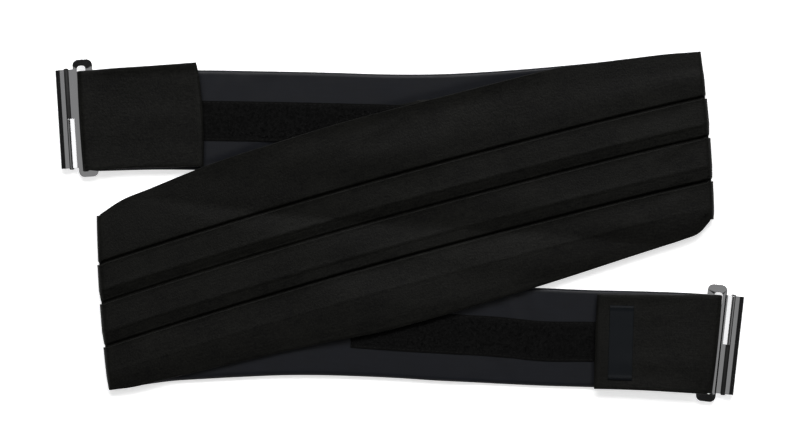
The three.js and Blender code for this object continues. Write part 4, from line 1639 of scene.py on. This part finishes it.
def make_pile(side, rows, outwards):
    """The loops that stand on a tape."""
    v_shares = np.linspace(0, 1, PILE_COLUMNS)
    vertices = []
    for row in rows:
        v = PILE_INSET + (row.width - 2 * PILE_INSET) * v_shares
        vertices.append(row.at(v, np.full(PILE_COLUMNS, TAPE_FACES[1])))
    vertices = to_frame(np.vstack(vertices))
    faces = []
    for first in range(0, (len(rows) - 1) * PILE_COLUMNS, PILE_COLUMNS):
        for k in range(first, first + PILE_COLUMNS - 1):
            face = (k, k + PILE_COLUMNS, k + PILE_COLUMNS + 1, k + 1)
            faces.append(face if outwards > 0 else face[::-1])
    base = cloth_object(side + "_pile_base", vertices, faces, vertices[:, :2])
    sizes = bpy.context.scene.sash_sizes
    values = {
        "Density": sizes.loop_density,
        "Loop Radius": PILE_RADIUS,
        "Thread Radius": PILE_THREAD,
        "Seed": sizes.loop_seed,
        "Material": material("pile"),
    }
    return finish_piece(grown(side + "_tape_pile", base, pile_tree(), values), None, "tape")


class SASH_OT_tapes(bpy.types.Operator):
    """Makes the loop tapes, their pile and their stitches"""

    bl_idname = "sash.tapes"
    bl_label = "Loop tapes"

    def execute(self, context):
        for side, table, tail, outwards, length in (
            ("left", LEFT_TAPE_ROWS, UPPER_TAIL_ROWS, -1, 0.176),
            ("right", RIGHT_TAPE_ROWS, LOWER_TAIL_ROWS, 1, 0.197),
        ):
            level = tape_level(tail, outwards)
            lines = fine_lines(table, TAPE_STEP)
            tape, rows = strip(side + "_tape_ribbon", lines, level, TAPE_FACES, TAPE_POINTS, TAPE_ROUND)
            finish_piece(tape, material("tape"), "tape", side + "_loop_tape")
            pile = make_pile(side, rows, outwards)
            seams = [line_on(rows, v, TAPE_FACES[1]) for v in (TAPE_STITCH_INSET, -TAPE_STITCH_INSET)]
            thread = sew(side + "_tape_stitches", seams, "tape")
        return {"FINISHED"}


class SASH_OT_patches(bpy.types.Operator):
    """Makes the hook patches that hold the tabs"""

    bl_idname = "sash.patches"
    bl_label = "Hook patches"

    def execute(self, context):
        for side, table in (("left", LEFT_TAB_ROWS), ("right", RIGHT_TAB_ROWS)):
            near, far = [(np.array(line[:2]) + line[2:]) / 2 for line in (table[0], table[-1])]
            centre = near + (far - near) * PATCH_SHARE
            along = (far - near) / np.linalg.norm(far - near)
            across = np.array([-along[1], along[0]])
            lines = cross_lines(centre, along, across, *PATCH_SIZE, PATCH_ROWS)
            level = even_level(HOOK_HEIGHT)
            patch, _ = strip(side + "_hook_tape", lines, level, PATCH_FACES, PATCH_POINTS, PATCH_ROUND)
            finish_piece(patch, material("tape"), "tape", side + "_hook_patch")
        return {"FINISHED"}


def label_level(x, y):
    """The level of the label, which follows the tab under it."""
    return TAB_LEVEL + STRAP_SPACE + LABEL_LIFT + tab_swell(x, y)


def label_outline(row, length):
    """The label's section at a row, thicker where its ends are turned under."""
    from_end = min(row.s, length - row.s)
    turned_under = LABEL_TURNED * float(smooth(*LABEL_TURNED_ENDS, from_end))
    keep = math.sqrt(max(0.1, 1 - max(0.0, 1 - from_end / LABEL_END_ROUND) ** 2))
    top = LABEL_LIFT + (LABEL_CLOTH + turned_under) * keep
    return strip_outline(row.width, LABEL_LIFT, top, LABEL_POINTS, LABEL_ROUND)


class SASH_OT_label(bpy.types.Operator):
    """Makes the bare woven label"""

    bl_idname = "sash.label"
    bl_label = "Label"

    def execute(self, context):
        turn = math.radians(LABEL_TURN)
        down = np.array([math.sin(turn), -math.cos(turn)])
        left = np.array([-math.cos(turn), -math.sin(turn)])
        centre = np.array(LABEL_AT)
        width, length = LABEL_SIZE
        lines = cross_lines(centre, down, left, length, width, LABEL_ROWS)
        rows = measured([flat_row(line, 1, label_level) for line in lines])
        label = loft("label_ribbon", rows, [label_outline(row, length) for row in rows])
        finish_piece(label, material("label"), "label", "label")
        from_end, inset, height = LABEL_STITCHES
        seams = []
        for reach in (from_end - length / 2, length / 2 - from_end):
            span = np.linspace(width / 2 - inset, inset - width / 2, LABEL_STITCHED_POINTS)
            spots = centre + down * reach + np.outer(span, left)
            seams.append(np.column_stack([spots, height + label_level(spots[:, 0], spots[:, 1])]))
        thread = sew("label_stitches", seams, "label")
        return {"FINISHED"}


class SASH_OT_clasps(bpy.types.Operator):
    """Makes both polished clasp halves and their pins"""

    bl_idname = "sash.clasps"
    bl_label = "Clasps"

    def execute(self, context):
        for side, place in (("left", LEFT_CLASP), ("right", RIGHT_CLASP)):
            make_clasp(side + "_clasp", place, SLOT_LENGTHS[side])
            make_pin(side + "_clasp_pin", place)
        return {"FINISHED"}


class SASH_PT_panel(bpy.types.Panel):
    """Lists the steps that make the sash"""

    bl_idname = "SASH_PT_panel"
    bl_label = "Pleated waist sash"
    bl_space_type = "VIEW_3D"
    bl_region_type = "UI"
    bl_category = "Sash"

    def draw(self, context):
        for group in (context.scene.sash_sizes, context.scene.sash_colours):
            for name in group.__annotations__:
                self.layout.prop(group, name)
        for step in STEPS:
            self.layout.operator(step.bl_idname)


STEPS = (
    SASH_OT_stage,
    SASH_OT_lining,
    SASH_OT_front,
    SASH_OT_tapes,
    SASH_OT_patches,
    SASH_OT_straps,
    SASH_OT_label,
    SASH_OT_clasps,
)
CLASSES = (SashSizes, SashColours, *STEPS, SASH_PT_panel)


def register():
    """Adds the sash's steps and settings."""
    for cls in CLASSES:
        bpy.utils.register_class(cls)
    bpy.types.Scene.sash_sizes = PointerProperty(type=SashSizes)
    bpy.types.Scene.sash_colours = PointerProperty(type=SashColours)


def unregister():
    """Takes the sash's steps and settings away again."""
    del bpy.types.Scene.sash_colours
    del bpy.types.Scene.sash_sizes
    for cls in reversed(CLASSES):
        bpy.utils.unregister_class(cls)


def main():
    """Makes the sash."""
    register()
    bpy.ops.sash.stage()
    bpy.ops.sash.lining()
    bpy.ops.sash.front()
    bpy.ops.sash.tapes()
    bpy.ops.sash.patches()
    bpy.ops.sash.straps()
    bpy.ops.sash.label()
    bpy.ops.sash.clasps()


if __name__ == "__main__":
    main()
